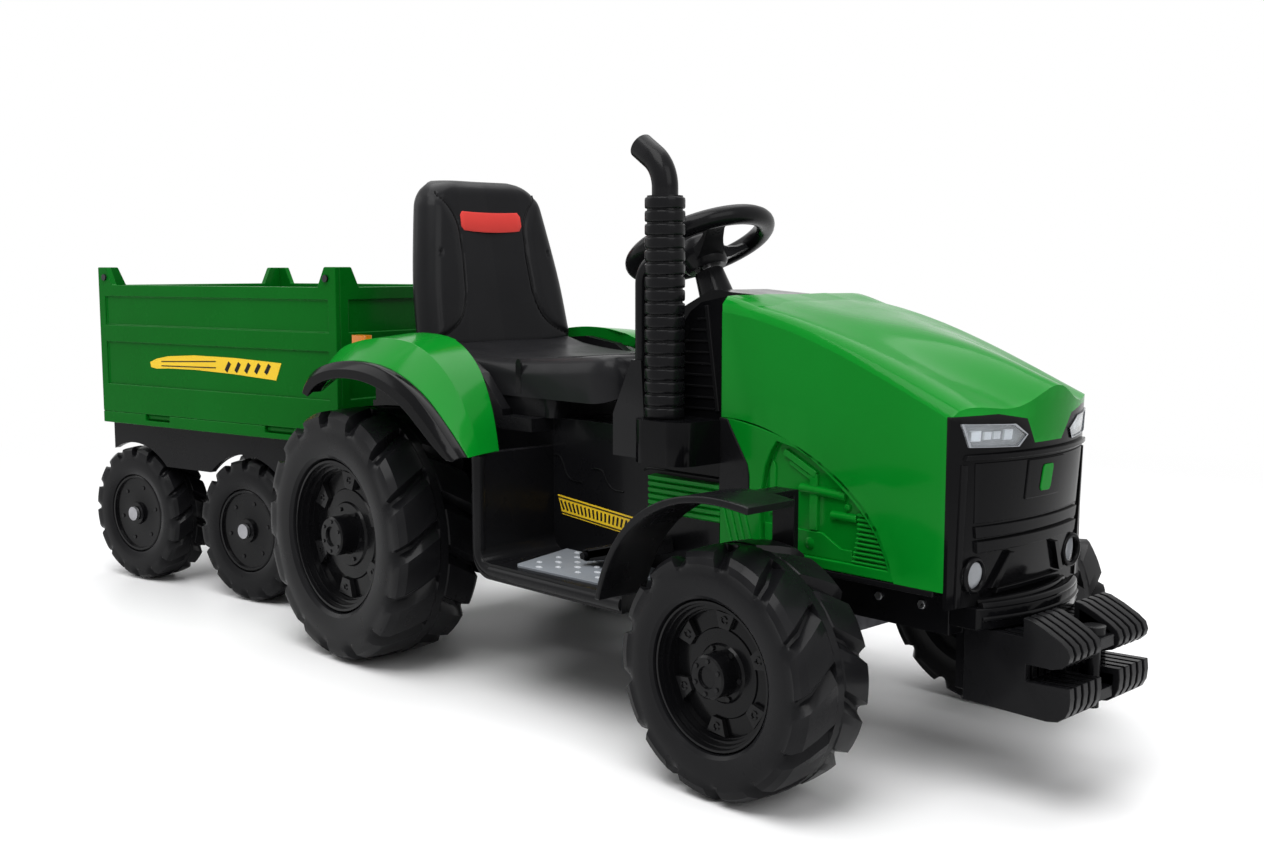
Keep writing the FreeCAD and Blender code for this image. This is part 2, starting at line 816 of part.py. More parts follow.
for side, y_sign, turned in (("right", -1.0, False), ("left", 1.0, True)):
    wheel_node("rear_tyre_" + side, [rear_tyre], shift, rear_centre * y_sign, S.rear_radius, turned)
    wheel_node("rear_rim_" + side, [rear_rim], shift, rear_centre * y_sign, S.rear_radius, turned)
    wheel_node("front_tyre_" + side, [front_tyre], front_x, front_centre * y_sign, S.front_radius, turned)
    wheel_node("front_rim_" + side, [front_rim], front_x, front_centre * y_sign, S.front_radius, turned)

# Main body: tunnel, footwells, shelf and the walls beside the seat.
body = new_body("main_body_shell")
deck_front = S.deck_front + stretch
body_front = S.body_front + stretch
well_front = S.well_front + stretch
shelf_bottom = S.deck_height - S.shelf_thick
slab(body, "XZ", rect(S.body_rear, deck_front, S.body_bottom, S.deck_height), -S.tunnel_half, S.tunnel_half)
slab(body, "XZ", rect(deck_front - S.body_wall, body_front, S.body_bottom, S.cowl_floor), -S.tunnel_half,
     S.tunnel_half)
slab(body, "XZ", rect(S.shelf_rear, S.well_rear + S.well_wall, shelf_bottom, S.deck_height),
     -S.shelf_half, S.shelf_half)
well_in = S.well_rear + S.well_wall


def well_side(top):
    return [(S.well_rear, S.board_bottom), (well_front, S.board_bottom), (well_front, S.board_top),
            (well_in, S.board_top), (well_in, top), (S.well_rear, top)]


slab(body, "XZ", well_side(S.deck_height - S.well_wall_drop), -S.shelf_half, S.shelf_half)
slab(body, "XZ", well_side(S.well_wall_top), S.shelf_half, S.board_half)
slab(body, "XZ", well_side(S.well_wall_top), -S.board_half, -S.shelf_half)
side_wall = raised("side_wall", S.deck_height)
slab(body, "XZ", side_wall, S.side_wall_inner, S.shelf_half)
slab(body, "XZ", side_wall, -S.shelf_half, -S.side_wall_inner)


def at(edge, x=None, y=None, z=None):
    tiny = S.fit_gap.value
    for vertex in edge.Vertexes:
        point = vertex.Point
        for have, want in ((point.x, x), (point.y, y), (point.z, z)):
            if want is not None and abs(have - want.value) > tiny:
                return False
    return True


def outside(edge, half):
    return all(abs(vertex.Point.y) > half.value - S.fit_gap.value for vertex in edge.Vertexes)


round_edges(body, S.well_outer_round, lambda e: at(e, x=S.well_rear, z=S.board_bottom)
            and outside(e, S.tunnel_half))
round_edges(body, S.well_inner_round, lambda e: at(e, x=well_in, z=S.board_top)
            and outside(e, S.tunnel_half))
inside = S.tunnel_half - S.body_wall
hollow_rear = S.body_rear + S.body_wall
hollow_front = body_front - S.body_wall
hollow_low = S.body_bottom + S.body_wall
recess(body, "XZ", [rect(hollow_rear, hollow_front, hollow_low, S.board_top)], -inside, inside)
recess(body, "XZ", [rect(hollow_rear, deck_front - S.body_wall, S.board_top - S.overrun,
                         S.deck_height - S.body_wall)], -inside, inside)
recess(body, "XZ", [rect(deck_front + S.body_wall, hollow_front, S.board_top - S.overrun,
                         S.cowl_floor - S.body_wall)], -inside, inside)
hatch_front = S.hatch_front + stretch
hatch = rect(S.hatch_rear, hatch_front, -S.hatch_half, S.hatch_half)
recess(body, "XY", [hatch], S.deck_height - S.body_wall - S.overrun, S.deck_height + S.overrun)
past = S.tunnel_half + S.overrun
axle_hole = rod("axle_hole", "Y", S.axle_radius + S.running_gap, -past, past, 0.0, S.rear_radius)
motor_hole = rod("motor_hole", "Y", S.motor_radius + S.loose_gap, -past, past, S.motor_x, S.motor_height)
passage = rod("shaft_passage", "Z", S.shaft_passage, -S.shaft_bottom, as_size(0), 0.0, 0.0)
place(passage, S.wheel_x + S.shaft_bottom * S.column_angle.sine(), None,
      S.wheel_z - S.shaft_bottom * S.column_angle.cosine(), V(0, -1, 0), S.column_angle)
body_passage = rod("body_passage", "Z", S.shaft_passage, -S.shaft_bottom, as_size(0), 0.0, 0.0)
place(body_passage, stretch + S.wheel_x + S.shaft_bottom * S.column_angle.sine(), None,
      S.wheel_z - S.shaft_bottom * S.column_angle.cosine(), V(0, -1, 0), S.column_angle)
main_body = cut("main_body_cut", body, [axle_hole, motor_hole, body_passage])
tractor_node("main_body", [main_body])

# Foot plates, the right one with the ears that carry the pedal.
plates = []
plate_front = S.foot_plate_front + stretch
squeeze = (plate_front - S.foot_plate_rear) / (S.foot_plate_front - S.foot_plate_rear)
pedal_x = S.foot_plate_rear + (S.pedal_rear - S.foot_plate_rear) * squeeze
for side, sign in (("right", -1.0), ("left", 1.0)):
    body = new_body("foot_plate_" + side)
    edges = sorted((S.foot_plate_inner * sign, S.foot_plate_outer * sign), key=lambda size: size.value)
    slab(body, "XY", rect(S.foot_plate_rear, plate_front, edges[0], edges[1]), S.board_top,
         S.board_top + S.foot_plate_thick)
    round_edges(body, S.foot_plate_round, lambda e: along(e, V(0, 0, 1)))
    plates.append(body)
plate_top = S.board_top + S.foot_plate_thick
ear_low = S.pedal_half + S.loose_gap
ears = []
for name, low, high in (("ear_a", -S.pedal_y - ear_low - S.pedal_ear, -S.pedal_y - ear_low),
                        ("ear_b", -S.pedal_y + ear_low, -S.pedal_y + ear_low + S.pedal_ear)):
    ear = box(name, pedal_x - S.pedal_ear_half, pedal_x + S.pedal_ear_half, low, high, plate_top,
              S.pedal_height + S.pedal_ear_rise)
    ears.append(ear)
ear_bore = rod("ear_bore", "Y", S.pedal_pin_radius + S.running_gap, -S.pedal_y - S.pedal_half * 2.0,
               -S.pedal_y + S.pedal_half * 2.0, pedal_x, S.pedal_height)
right_plate = cut("foot_plate_with_ears", fuse("foot_plate_fused", [plates[0]] + ears), [ear_bore])
tractor_node("foot_plates", [right_plate, plates[1]])

# Pedal, drawn flat about its pin and then tilted.
pedal_body = new_body("pedal_body")
slab(pedal_body, "XZ", rect(as_size(0), S.pedal_length * squeeze, -S.pedal_thick / 2.0, S.pedal_thick / 2.0),
     -S.pedal_half, S.pedal_half)
barrel = rod("pedal_barrel", "Y", S.pedal_barrel, -S.pedal_half, S.pedal_half, 0.0, 0.0)
pin = rod("pedal_pin", "Y", S.pedal_pin_radius, -S.pedal_half - S.pedal_ear, S.pedal_half + S.pedal_ear,
          0.0, 0.0)
pedal = fuse("pedal_fused", [pedal_body, barrel, pin])
node("accelerator_pedal", [pedal], shift + pedal_x, -S.pedal_y, S.pedal_height, V(0, -1, 0),
     S.pedal_tilt)

# Seat base and seat.
body = new_body("seat_base_body")
seat_floor = S.deck_height + S.seat_base_rise
slab(body, "XY", rect(S.seat_base_rear, S.seat_base_front + stretch, -S.seat_base_half, S.seat_base_half),
     S.deck_height, seat_floor)
round_edges(body, S.seat_edge_round, lambda e: along(e, V(0, 0, 1)))
recess(body, "XY", [hatch], S.deck_height - S.overrun, seat_floor + S.overrun)
tractor_node("seat_base", [body])
cushion = new_body("seat_cushion")
cushion_rear = raised("cushion_rear", seat_floor)
cushion_front = [(u + stretch, v) for u, v in raised("cushion_front", seat_floor)]
slab(cushion, "XZ", cushion_front + cushion_rear, -S.seat_half, S.seat_half)
hollow_back = raised("cushion_hollow_rear", seat_floor)
hollow_nose = [(u + stretch, v) for u, v in raised("cushion_hollow_front", seat_floor)]
recess(cushion, "XZ", [hollow_nose + hollow_back], -S.hatch_half - S.seat_skin, S.hatch_half + S.seat_skin)


back_low = seat_floor + S.back_low
back_top = seat_floor + S.back_top
back_hollow_low = seat_floor + S.back_hollow_low


def back_loft(inset, low, corner):
    """The backrest between its foot and its top, both inset by a wall."""
    wires = []
    for z, rear, front, half in (
            (low, S.back_low_rear.value, S.back_low_front.value, S.back_low_half.value),
            (back_top.value - inset, S.back_top_rear.value, S.back_top_front.value, S.back_top_half.value)):
        wires.append(Part.makePolygon([V(rear + inset, -half + inset, z), V(front - inset, -half + inset, z),
                                       V(front - inset, half - inset, z), V(rear + inset, half - inset, z),
                                       V(rear + inset, -half + inset, z)]))
    solid = Part.makeLoft(wires, True, True)
    tops = [edge for edge in solid.Edges if along(edge, V(1, 0, 0))
            and edge.CenterOfMass.z > (low + back_top.value) / 2.0]
    return solid.makeFillet(corner, tops)


back = feature("seat_back", back_loft(0.0, back_low.value, S.back_corner.value))
back_hollow = feature("seat_back_hollow", back_loft(S.seat_skin.value, back_hollow_low.value,
                                                    S.back_corner.value - S.seat_skin.value))
hollow_half = S.hatch_half + S.seat_skin
hollow_zone = box("seat_hollow_zone", S.back_top_rear, S.back_low_front, -hollow_half, hollow_half,
                  back_hollow_low, back_top)
seat = cut("seat_cut", fuse("seat_fused", [cushion, back]),
           [common("seat_hollow_core", [back_hollow, hollow_zone])])
tractor_node("seat", [seat])

# Power pack inside the tunnel.
floor_z = S.body_bottom + S.body_wall
tractor_node("battery", [box("battery_box", S.battery_rear, S.battery_rear + S.battery_length,
                             -S.battery_half, S.battery_half, floor_z, floor_z + S.battery_height)])
tractor_node("control_box", [box("control_case", S.control_rear, S.control_rear + S.control_length,
                                 -S.control_half, S.control_half, floor_z, floor_z + S.control_height)])
gear_body = new_body("gearbox_body")
slab(gear_body, "XZ", rect(S.gearbox_rear, S.gearbox_front, S.gearbox_bottom, S.gearbox_top),
     -S.gearbox_outer, -S.tunnel_half)
round_edges(gear_body, S.gearbox_round, lambda e: along(e, V(0, 1, 0)))
gear_bore = rod("gear_bore", "Y", S.axle_radius + S.running_gap, -S.rear_face, S.rear_face, 0.0,
                S.rear_radius)
gear = cut("gearbox_cut", gear_body, [gear_bore])
tractor_node("gearboxes", [gear, mirror("gearbox_mirror", gear)])
motor = rod("motor_can", "Y", S.motor_radius, -S.tunnel_half, -S.motor_inner, S.motor_x, S.motor_height)
tractor_node("drive_motors", [motor, mirror("motor_mirror", motor)])
tractor_node("rear_axle", [rod("rear_axle_rod", "Y", S.axle_radius, -S.rear_axle_half, S.rear_axle_half,
                               0.0, S.rear_radius)])

# Rear mudguards, lofted across their width, with a lamp let into each.
guard_loft = feature("guard_loft", Part.makeLoft(
    [band_wire(numbers("guard_inner_top"), numbers("guard_inner_low"), -S.guard_inner.value),
     band_wire(numbers("guard_middle_top"), numbers("guard_middle_low"), -S.guard_middle.value),
     band_wire(numbers("guard_outer_top"), numbers("guard_outer_low"), -S.guard_outer.value)], True, False))
lamp_body = new_body("tail_lamp_body")
slab(lamp_body, "XY", rect(S.tail_rear, S.tail_front, -S.tail_outer, -S.tail_inner), S.tail_bottom,
     S.tail_top)
round_edges(lamp_body, S.foot_plate_round, lambda e: along(e, V(0, 0, 1)))
trim_body = new_body("guard_trim_body")
slab(trim_body, "YZ", [(-u, v) for u, v in outline("guard_trim")], S.guard_trim_rear, S.guard_trim_front)
guard = cut("guard_cut", guard_loft, [lamp_body, trim_body])
tractor_node("rear_mudguard_right", [guard])
tractor_node("rear_mudguard_left", [mirror("guard_mirror", guard)])
tractor_node("tail_lamps", [lamp_body, mirror("lamp_mirror", lamp_body)])
lip_loft = feature("lip_loft", Part.makeLoft(
    [band_wire(numbers("guard_outer_top"), numbers("guard_outer_low"), -S.guard_outer.value),
     band_wire(numbers("guard_outer_top"), numbers("guard_outer_low"), -S.lip_middle.value),
     band_wire(numbers("lip_outer_top"), numbers("lip_outer_low"), -S.lip_outer.value)], True, True))
tractor_node("mudguard_lips", [lip_loft, mirror("lip_mirror", lip_loft)])

# Front mudguards with the strut that carries each from the frame.
arch_face = Part.Face(band_wire(numbers("arch_top"), numbers("arch_low"), -S.arch_outer.value))
arch = feature("arch_band", arch_face.extrude(V(0, S.arch_outer.value - S.arch_inner.value, 0)))
bridge_top = (S.arch_top_v5 + S.arch_low_v1) / 2.0
bridge = box("arch_bridge", S.strut_rear, S.strut_front, -S.arch_inner - S.strut_foot_thick, -S.strut_inner,
             bridge_top - S.strut_foot_thick, bridge_top)
strut = box("arch_strut", S.strut_rear, S.strut_front, -S.strut_outer, -S.strut_inner, S.strut_foot,
            bridge_top)
foot = box("arch_foot", S.strut_rear, S.strut_front, -S.strut_outer, -S.frame_half, S.strut_foot,
           S.strut_foot + S.strut_foot_thick)
arch_right = fuse("arch_right", [arch, bridge, strut, foot])
front_node("front_mudguards", [arch_right, mirror("arch_mirror", arch_right)])


# Bonnet: lofted sections, trimmed in plan to the curved nose.
def bonnet_loft(inset, bottom):
    wires = []
    half = S.bonnet_half.value - inset
    for (x, shoulder), (crease_y, crease_z), (_, centre) in zip(
            numbers("bonnet_station"), numbers("bonnet_crease"), numbers("bonnet_centre")):
        low = shoulder - S.bonnet_shoulder.value - inset
        side = [(half, low), (half - S.bonnet_corner.value, shoulder - inset), (crease_y, crease_z - inset),
                (crease_y / 2.0, (crease_z + centre) / 2.0 + S.bonnet_crown.value - inset)]
        points = [V(x, -y, z) for y, z in side] + [V(x, 0, centre - inset)]
        points += [V(x, y, z) for y, z in reversed(side)]
        left = V(x, half, bottom)
        right = V(x, -half, bottom)
        wires.append(Part.Wire([Part.makeLine(right, points[0]), spline(points),
                                Part.makeLine(points[-1], left), Part.makeLine(left, right)]))
    return Part.makeLoft(wires, True, False)


def nose_prism(back, low, high, half):
    """The plan of the bonnet and nose, its front arc leaning forward as it rises, set back by a distance."""
    start = S.bonnet_station_u0.value
    side_x = S.nose_side_x.value - back
    lean = ((S.nose_tip_high_x.value - S.nose_tip_low_x.value)
            / (S.nose_top.value - S.grille_bottom.value))
    wires = []
    for z in (low, high):
        tip_x = S.nose_tip_low_x.value + lean * (z - S.grille_bottom.value) - back
        right = V(side_x, -half, z)
        left = V(side_x, half, z)
        arc = Part.Arc(right, V(tip_x, 0, z), left).toShape()
        wires.append(Part.Wire([Part.makeLine(V(start, -half, z), right), arc,
                                Part.makeLine(left, V(start, half, z)),
                                Part.makeLine(V(start, half, z), V(start, -half, z))]))
    return Part.makeLoft(wires, True, True)


half_value = S.bonnet_half.value
wall_value = S.bonnet_wall.value
low_value = S.grille_bottom.value
deep_value = low_value - S.overrun.value
top_value = S.nose_top.value
nose_outer = feature("nose_outer", bonnet_loft(0.0, low_value).common(
    nose_prism(0.0, low_value, top_value, half_value)))
nose_inner = feature("nose_inner", bonnet_loft(wall_value, deep_value).common(
    nose_prism(wall_value, deep_value, top_value, half_value)))
nose_shell = cut("nose_shell", nose_outer, [nose_inner])
seam_points = [V(x, -half_value - S.overrun.value, z) for x, z in numbers("seam")]
seam_low = [V(seam_points[-1].x, seam_points[0].y, deep_value),
            V(seam_points[0].x, seam_points[0].y, deep_value)]
seam_wire = Part.Wire([spline(seam_points), Part.makeLine(seam_points[-1], seam_low[0]),
                       Part.makeLine(seam_low[0], seam_low[1]), Part.makeLine(seam_low[1], seam_points[0])])
seam_zone = feature("seam_zone", Part.Face(seam_wire).extrude(V(0, 2.0 * (half_value + S.overrun.value), 0)))
front_body = new_body("front_zone")
lip = outline("lip_line")
lip_right = [(-u, v) for u, v in lip]
lip_left = [(u, v) for u, v in reversed(lip)]
slab(front_body, "YZ", [(-S.lip_line_u0, S.grille_bottom - S.overrun)] + lip_right + lip_left
     + [(S.lip_line_u0, S.grille_bottom - S.overrun)], S.grille_start, S.grille_end)
under = box("under_zone", S.bonnet_station_u0 - S.overrun, S.grille_start, -S.lip_line_u0, S.lip_line_u0,
            S.grille_bottom - S.overrun, S.bonnet_bottom)
bonnet = cut("bonnet_cut", nose_shell, [seam_zone, front_body, under])
front_node("bonnet", [bonnet])
panels = cut("engine_panel_cut", common("engine_panel_common", [nose_shell, seam_zone]), [under])
vents = []
for side, sign in (("right", -1.0), ("left", 1.0)):
    edges = sorted((S.tunnel_half * sign, S.vent_outer * sign), key=lambda size: size.value)
    vents.append(box("vent_" + side, S.vent_rear, S.bonnet_station_u0, edges[0], edges[1], S.vent_bottom,
                     S.vent_top))
front_node("engine_panels", [panels] + vents)

# Nose: grille with pockets for the lamps, the lamps, and the bumper below.
grille_back = feature("grille_back", nose_prism(S.grille_wall.value, deep_value, top_value, half_value))
grille_skin = cut("grille_skin", common("grille_zone", [nose_outer, front_body]), [grille_back])
lens_back = feature("lens_back", nose_prism(S.lens_depth.value, deep_value, top_value, half_value))
head_body = new_body("headlight_zone")
slab(head_body, "YZ", [(-u, v) for u, v in outline("headlight")], S.grille_start - S.grille_wall,
     S.grille_end)
fog_zone = rod("fog_zone", "X", S.fog_radius, S.grille_start - S.grille_wall, S.grille_end, -S.fog_y,
               S.fog_height)
lens = cut("headlight_cut", common("headlight_common", [grille_skin, head_body]), [lens_back])
fog = cut("fog_cut", common("fog_common", [grille_skin, fog_zone]), [lens_back])
head_pair = [lens, mirror("headlight_mirror", lens)]
fog_pair = [fog, mirror("fog_mirror", fog)]
grille = cut("grille_cut", grille_skin, head_pair + fog_pair)
front_node("grille", [grille])
front_node("headlights", head_pair)
front_node("fog_lamps", fog_pair)
bumper_points = [V(S.frame_front.value, -S.bumper_half.value, S.bumper_bottom.value),
                 V(S.bumper_side_x.value, -S.bumper_half.value, S.bumper_bottom.value),
                 V(S.bumper_tip_x.value, 0, S.bumper_bottom.value),
                 V(S.bumper_side_x.value, S.bumper_half.value, S.bumper_bottom.value),
                 V(S.frame_front.value, S.bumper_half.value, S.bumper_bottom.value)]
bumper_wire = Part.Wire([Part.makeLine(bumper_points[0], bumper_points[1]),
                         Part.Arc(bumper_points[1], bumper_points[2], bumper_points[3]).toShape(),
                         Part.makeLine(bumper_points[3], bumper_points[4]),
                         Part.makeLine(bumper_points[4], bumper_points[0])])
bumper = feature("bumper_shelf", Part.Face(bumper_wire).extrude(
    V(0, 0, S.grille_bottom.value - S.bumper_bottom.value)))
front_node("nose_bumper", [bumper])

# Front frame: a channel with a wide top plate, and the carrier for the weights.
body = new_body("front_frame_body")
plate_low = S.bonnet_bottom - S.frame_plate
slab(body, "XZ", rect(S.body_front, S.frame_front, plate_low, S.bonnet_bottom), -S.bonnet_half, S.bonnet_half)
slab(body, "XZ", rect(S.body_front, S.frame_front, S.frame_bottom, S.bonnet_bottom), -S.frame_half,
     S.frame_half)
hollow = S.frame_half - S.frame_plate
recess(body, "XZ", [rect(S.body_front - S.overrun, S.frame_front - S.frame_plate, S.frame_bottom - S.overrun,
                         plate_low)], -hollow, hollow)
slab(body, "XZ", rect(S.frame_front - S.frame_plate, S.hook_rear, S.carrier_bottom, S.bumper_bottom),
     -S.carrier_half, S.carrier_half)
front_frame = cut("front_frame_cut", body, [passage])
front_node("front_frame", [front_frame])

# Weights: ribbed plates either side of the hook.
weight_body = new_body("weight_body")
first = -(S.weight_inner + S.weight_pitch * (S.weight_rib_count - 1.0) + S.weight_rib)
slab(weight_body, "XZ", outline("weight_core"), first, -S.weight_inner)
rib = slab(weight_body, "XZ", outline("weight"), first, first + S.weight_rib)
row_pattern(weight_body, rib, "Y_Axis", S.weight_pitch, S.weight_rib_count)
front_node("front_weights", [weight_body, mirror("weight_mirror", weight_body)])
hook_body = new_body("hook_body")
slab(hook_body, "XZ", [(S.hook_rear, S.hook_bottom), (S.hook_front, S.hook_bottom),
                       (S.hook_front, S.hook_bottom + S.hook_ear),
                       (S.hook_body_front, S.hook_bottom + S.hook_ear),
                       (S.hook_body_front, S.hook_top - S.hook_ear), (S.hook_front, S.hook_top - S.hook_ear),
                       (S.hook_front, S.hook_top), (S.hook_rear, S.hook_top)], -S.hook_half, S.hook_half)
hook_bore = rod("hook_bore", "Z", S.hook_pin_radius + S.running_gap, S.hook_bottom - S.overrun,
                S.hook_top + S.overrun, S.hook_pin_x, 0.0)
front_node("front_hook", [cut("hook_cut", hook_body, [hook_bore])])
hook_pin = rod("hook_pin_rod", "Z", S.hook_pin_radius, S.hook_pin_low, S.hook_top + S.hook_knob,
               S.hook_pin_x, 0.0)
hook_knob = rod("hook_pin_knob", "Z", S.hook_knob_radius, S.hook_top, S.hook_top + S.hook_knob, S.hook_pin_x,
                0.0)
front_node("front_hook_pin", [fuse("hook_pin_fused", [hook_pin, hook_knob])])

# Cowl behind the bonnet, with the pod that carries the column.
body = new_body("cowl_body")
slab(body, "XZ", outline("cowl_side"), -S.cowl_half, S.cowl_half)
base_x = S.wheel_x + S.column_drop * S.column_angle.sine()
base_z = S.wheel_z - S.column_drop * S.column_angle.cosine()
pod_rear = base_x - S.pod_reach * S.column_angle.cosine()
slab(body, "XZ", [(pod_rear, S.cowl_floor), (pod_rear, base_z - S.pod_reach * S.column_angle.sine()),
                  (base_x + S.pod_reach * S.column_angle.cosine(),
                   base_z + S.pod_reach * S.column_angle.sine()),
                  (S.cowl_side_u5, S.cowl_side_v5), (S.cowl_front, S.cowl_floor)], -S.pod_half, S.pod_half)
recess(body, "XZ", [outline("cowl_hollow")], -S.cowl_half + S.cowl_wall, S.cowl_half - S.cowl_wall)
recess(body, "XZ", [outline("pod_hollow")], -S.pod_half + S.cowl_wall, S.pod_half - S.cowl_wall)
button_hole = rod("button_hole", "X", S.button_radius + S.loose_gap, pod_rear - S.overrun,
                  pod_rear + S.button_depth, -S.button_y, S.button_height)
rocker_side = S.rocker_half_width + S.loose_gap
rocker_rim = S.rocker_half_height + S.rocker_gap
rocker_hole = box("rocker_hole", pod_rear - S.overrun, pod_rear + S.button_depth, S.button_y - rocker_side,
                  S.button_y + rocker_side, S.button_height - rocker_rim, S.button_height + rocker_rim)
pin_half = S.rocker_half_width + S.rocker_pin
rocker_bore = rod("rocker_bore", "Y", S.rocker_pin_radius + S.running_gap,
                  S.button_y - pin_half - S.loose_gap, S.button_y + pin_half + S.loose_gap,
                  pod_rear + S.rocker_pivot, S.button_height)
cowl = cut("cowl_cut", body, [passage, button_hole, rocker_hole, rocker_bore])
front_node("cowl", [cowl])
front_node("power_button", [rod("button_rod", "X", S.button_radius, pod_rear - S.button_rise,
                                  pod_rear + S.button_depth - S.overrun, -S.button_y, S.button_height)])
rocker = new_body("rocker_body")
slab(rocker, "XZ", [(pod_rear - S.rocker_rise / 2.0, S.button_height - S.rocker_half_height),
                    (pod_rear + S.rocker_depth, S.button_height - S.rocker_half_height / 2.0),
                    (pod_rear + S.rocker_depth, S.button_height + S.rocker_half_height / 2.0),
                    (pod_rear - S.rocker_rise / 2.0, S.button_height + S.rocker_half_height),
                    (pod_rear - S.rocker_rise, S.button_height + S.rocker_half_height / 2.0),
                    (pod_rear - S.rocker_rise, S.button_height - S.rocker_half_height / 2.0)],
     S.button_y - S.rocker_half_width, S.button_y + S.rocker_half_width)
rocker_pin = rod("rocker_pin", "Y", S.rocker_pin_radius, S.button_y - pin_half, S.button_y + pin_half,
                 pod_rear + S.rocker_pivot, S.button_height)
front_node("direction_switch", [fuse("rocker_fused", [rocker, rocker_pin])])

# Steering column parts, drawn along their own axis from the steering wheel's centre.
tube = doc.addObject("Part::Cone", "column_cone")
bind(tube, "Radius1", S.column_low_radius)
bind(tube, "Radius2", S.column_high_radius)
bind(tube, "Height", S.column_length)
place(tube, z=-S.column_drop)
tube_bore = rod("column_bore", "Z", S.shaft_radius + S.running_gap, -S.column_drop - S.overrun, as_size(0),
                0.0, 0.0)
column_node("steering_column", [cut("column_cut", tube, [tube_bore])])
shaft = rod("shaft_rod", "Z", S.shaft_radius, -S.shaft_bottom, -S.shaft_top, 0.0, 0.0)
crank = box("shaft_crank", -S.crank_reach - S.crank_half, S.shaft_radius / 2.0, -S.crank_half, S.crank_half,
            -S.shaft_bottom, -S.shaft_bottom + S.crank_half * 2.0)
crank_pin = rod("shaft_crank_pin", "Z", S.crank_pin_radius, -S.shaft_bottom - S.crank_pin_length,
                -S.shaft_bottom + S.crank_half, -S.crank_reach, 0.0)
column_node("steering_shaft", [fuse("shaft_fused", [shaft, crank, crank_pin])])
ring = doc.addObject("Part::Torus", "steer_ring")
bind(ring, "Radius1", S.steer_ring)
bind(ring, "Radius2", S.steer_grip)
hub = rod("steer_hub", "Z", S.steer_hub_radius, -S.steer_hub_low, S.steer_hub_high, 0.0, 0.0)
spokes = [box("spoke_sides", -S.steer_spoke_half, S.steer_spoke_half, -S.steer_ring, S.steer_ring,
              -S.steer_spoke_low, S.steer_spoke_high),
          box("spoke_rear", -S.steer_ring, as_size(0), -S.steer_spoke_half, S.steer_spoke_half,
              -S.steer_spoke_low, S.steer_spoke_high)]
hub_bore = rod("hub_bore", "Z", S.shaft_radius + S.running_gap, -S.steer_hub_low - S.overrun, -S.shaft_top,
               0.0, 0.0)
horn_hole = rod("horn_hole", "Z", S.horn_radius + S.loose_gap, S.steer_hub_high - S.horn_depth,
                S.steer_hub_high + S.overrun, 0.0, 0.0)
column_node("steering_wheel", [cut("steering_wheel_cut", fuse("steering_wheel_fused", [ring, hub] + spokes),
                                   [hub_bore, horn_hole])])
column_node("horn_button", [rod("horn_rod", "Z", S.horn_radius,
                                S.steer_hub_high - S.horn_depth + S.horn_gap,
                                S.steer_hub_high + S.horn_rise, 0.0, 0.0)])

# Front axle with clevis ends, knuckles and tie rod.
axle_x = S.front_datum
beam = box("axle_beam", axle_x - S.axle_beam_half, axle_x + S.axle_beam_half, -S.axle_beam_end,
           S.axle_beam_end, S.axle_beam_bottom, S.frame_bottom)
parts = [beam]
bores = []
for side, sign in (("right", -1.0), ("left", 1.0)):
    pin_y = S.kingpin_y * sign
    edges = sorted((S.axle_beam_end * S.axle_ear_share * sign, pin_y), key=lambda size: size.value)
    for level, low in (("low", S.axle_beam_bottom), ("high", S.frame_bottom - S.axle_ear)):
        parts.append(box("axle_ear_%s_%s" % (side, level), axle_x - S.axle_ear_radius,
                         axle_x + S.axle_ear_radius, edges[0], edges[1], low, low + S.axle_ear))
        parts.append(rod("axle_eye_%s_%s" % (side, level), "Z", S.axle_ear_radius, low, low + S.axle_ear,
                         axle_x, pin_y))
    bores.append(rod("kingpin_bore_" + side, "Z", S.kingpin_radius + S.running_gap,
                     S.axle_beam_bottom - S.overrun, S.frame_bottom + S.overrun, axle_x, pin_y))
arch_space = box("axle_arch_space", axle_x - S.axle_beam_half * 2.0, axle_x + S.axle_beam_half * 2.0,
                 -S.axle_arch_half, S.axle_arch_half, S.axle_beam_bottom - S.overrun, S.axle_arch)
front_node("front_axle", [cut("front_axle_cut", fuse("front_axle_fused", parts), bores + [arch_space])])
block_low = S.axle_beam_bottom + S.axle_ear + S.knuckle_gap
block_high = S.frame_bottom - S.axle_ear - S.knuckle_gap
kingpin = rod("kingpin", "Z", S.kingpin_radius, S.axle_beam_bottom, S.frame_bottom - S.knuckle_gap, axle_x,
              -S.kingpin_y)
block = rod("knuckle_block", "Z", S.knuckle_radius, block_low, block_high, axle_x, -S.kingpin_y)
stub = rod("stub_axle", "Y", S.axle_radius, -S.stub_end, -S.kingpin_y, axle_x, S.front_radius)
arm = new_body("knuckle_arm")
arm_x = axle_x - S.arm_length
arm_y = -S.kingpin_y + S.arm_inset
slab(arm, "XY", [(axle_x, -S.kingpin_y - S.arm_half), (axle_x, -S.kingpin_y + S.arm_half),
                 (arm_x - S.arm_half, arm_y + S.arm_half), (arm_x - S.arm_half, arm_y - S.arm_half)],
     S.arm_bottom, S.arm_bottom + S.arm_thick)
arm_pin = rod("arm_pin", "Z", S.arm_pin_radius, S.rod_bottom - S.overrun, S.arm_bottom + S.arm_half,
              arm_x, arm_y)
knuckle = fuse("knuckle_fused", [kingpin, block, stub, arm, arm_pin])
front_node("knuckle_right", [knuckle])
front_node("knuckle_left", [mirror("knuckle_mirror", knuckle)])
rod_body = new_body("tie_rod_body")
half_rod = outline("rod_half")
slab(rod_body, "XY", [(u, -v) for u, v in half_rod] + [(u, v) for u, v in reversed(half_rod)], S.rod_bottom,
     S.rod_top)
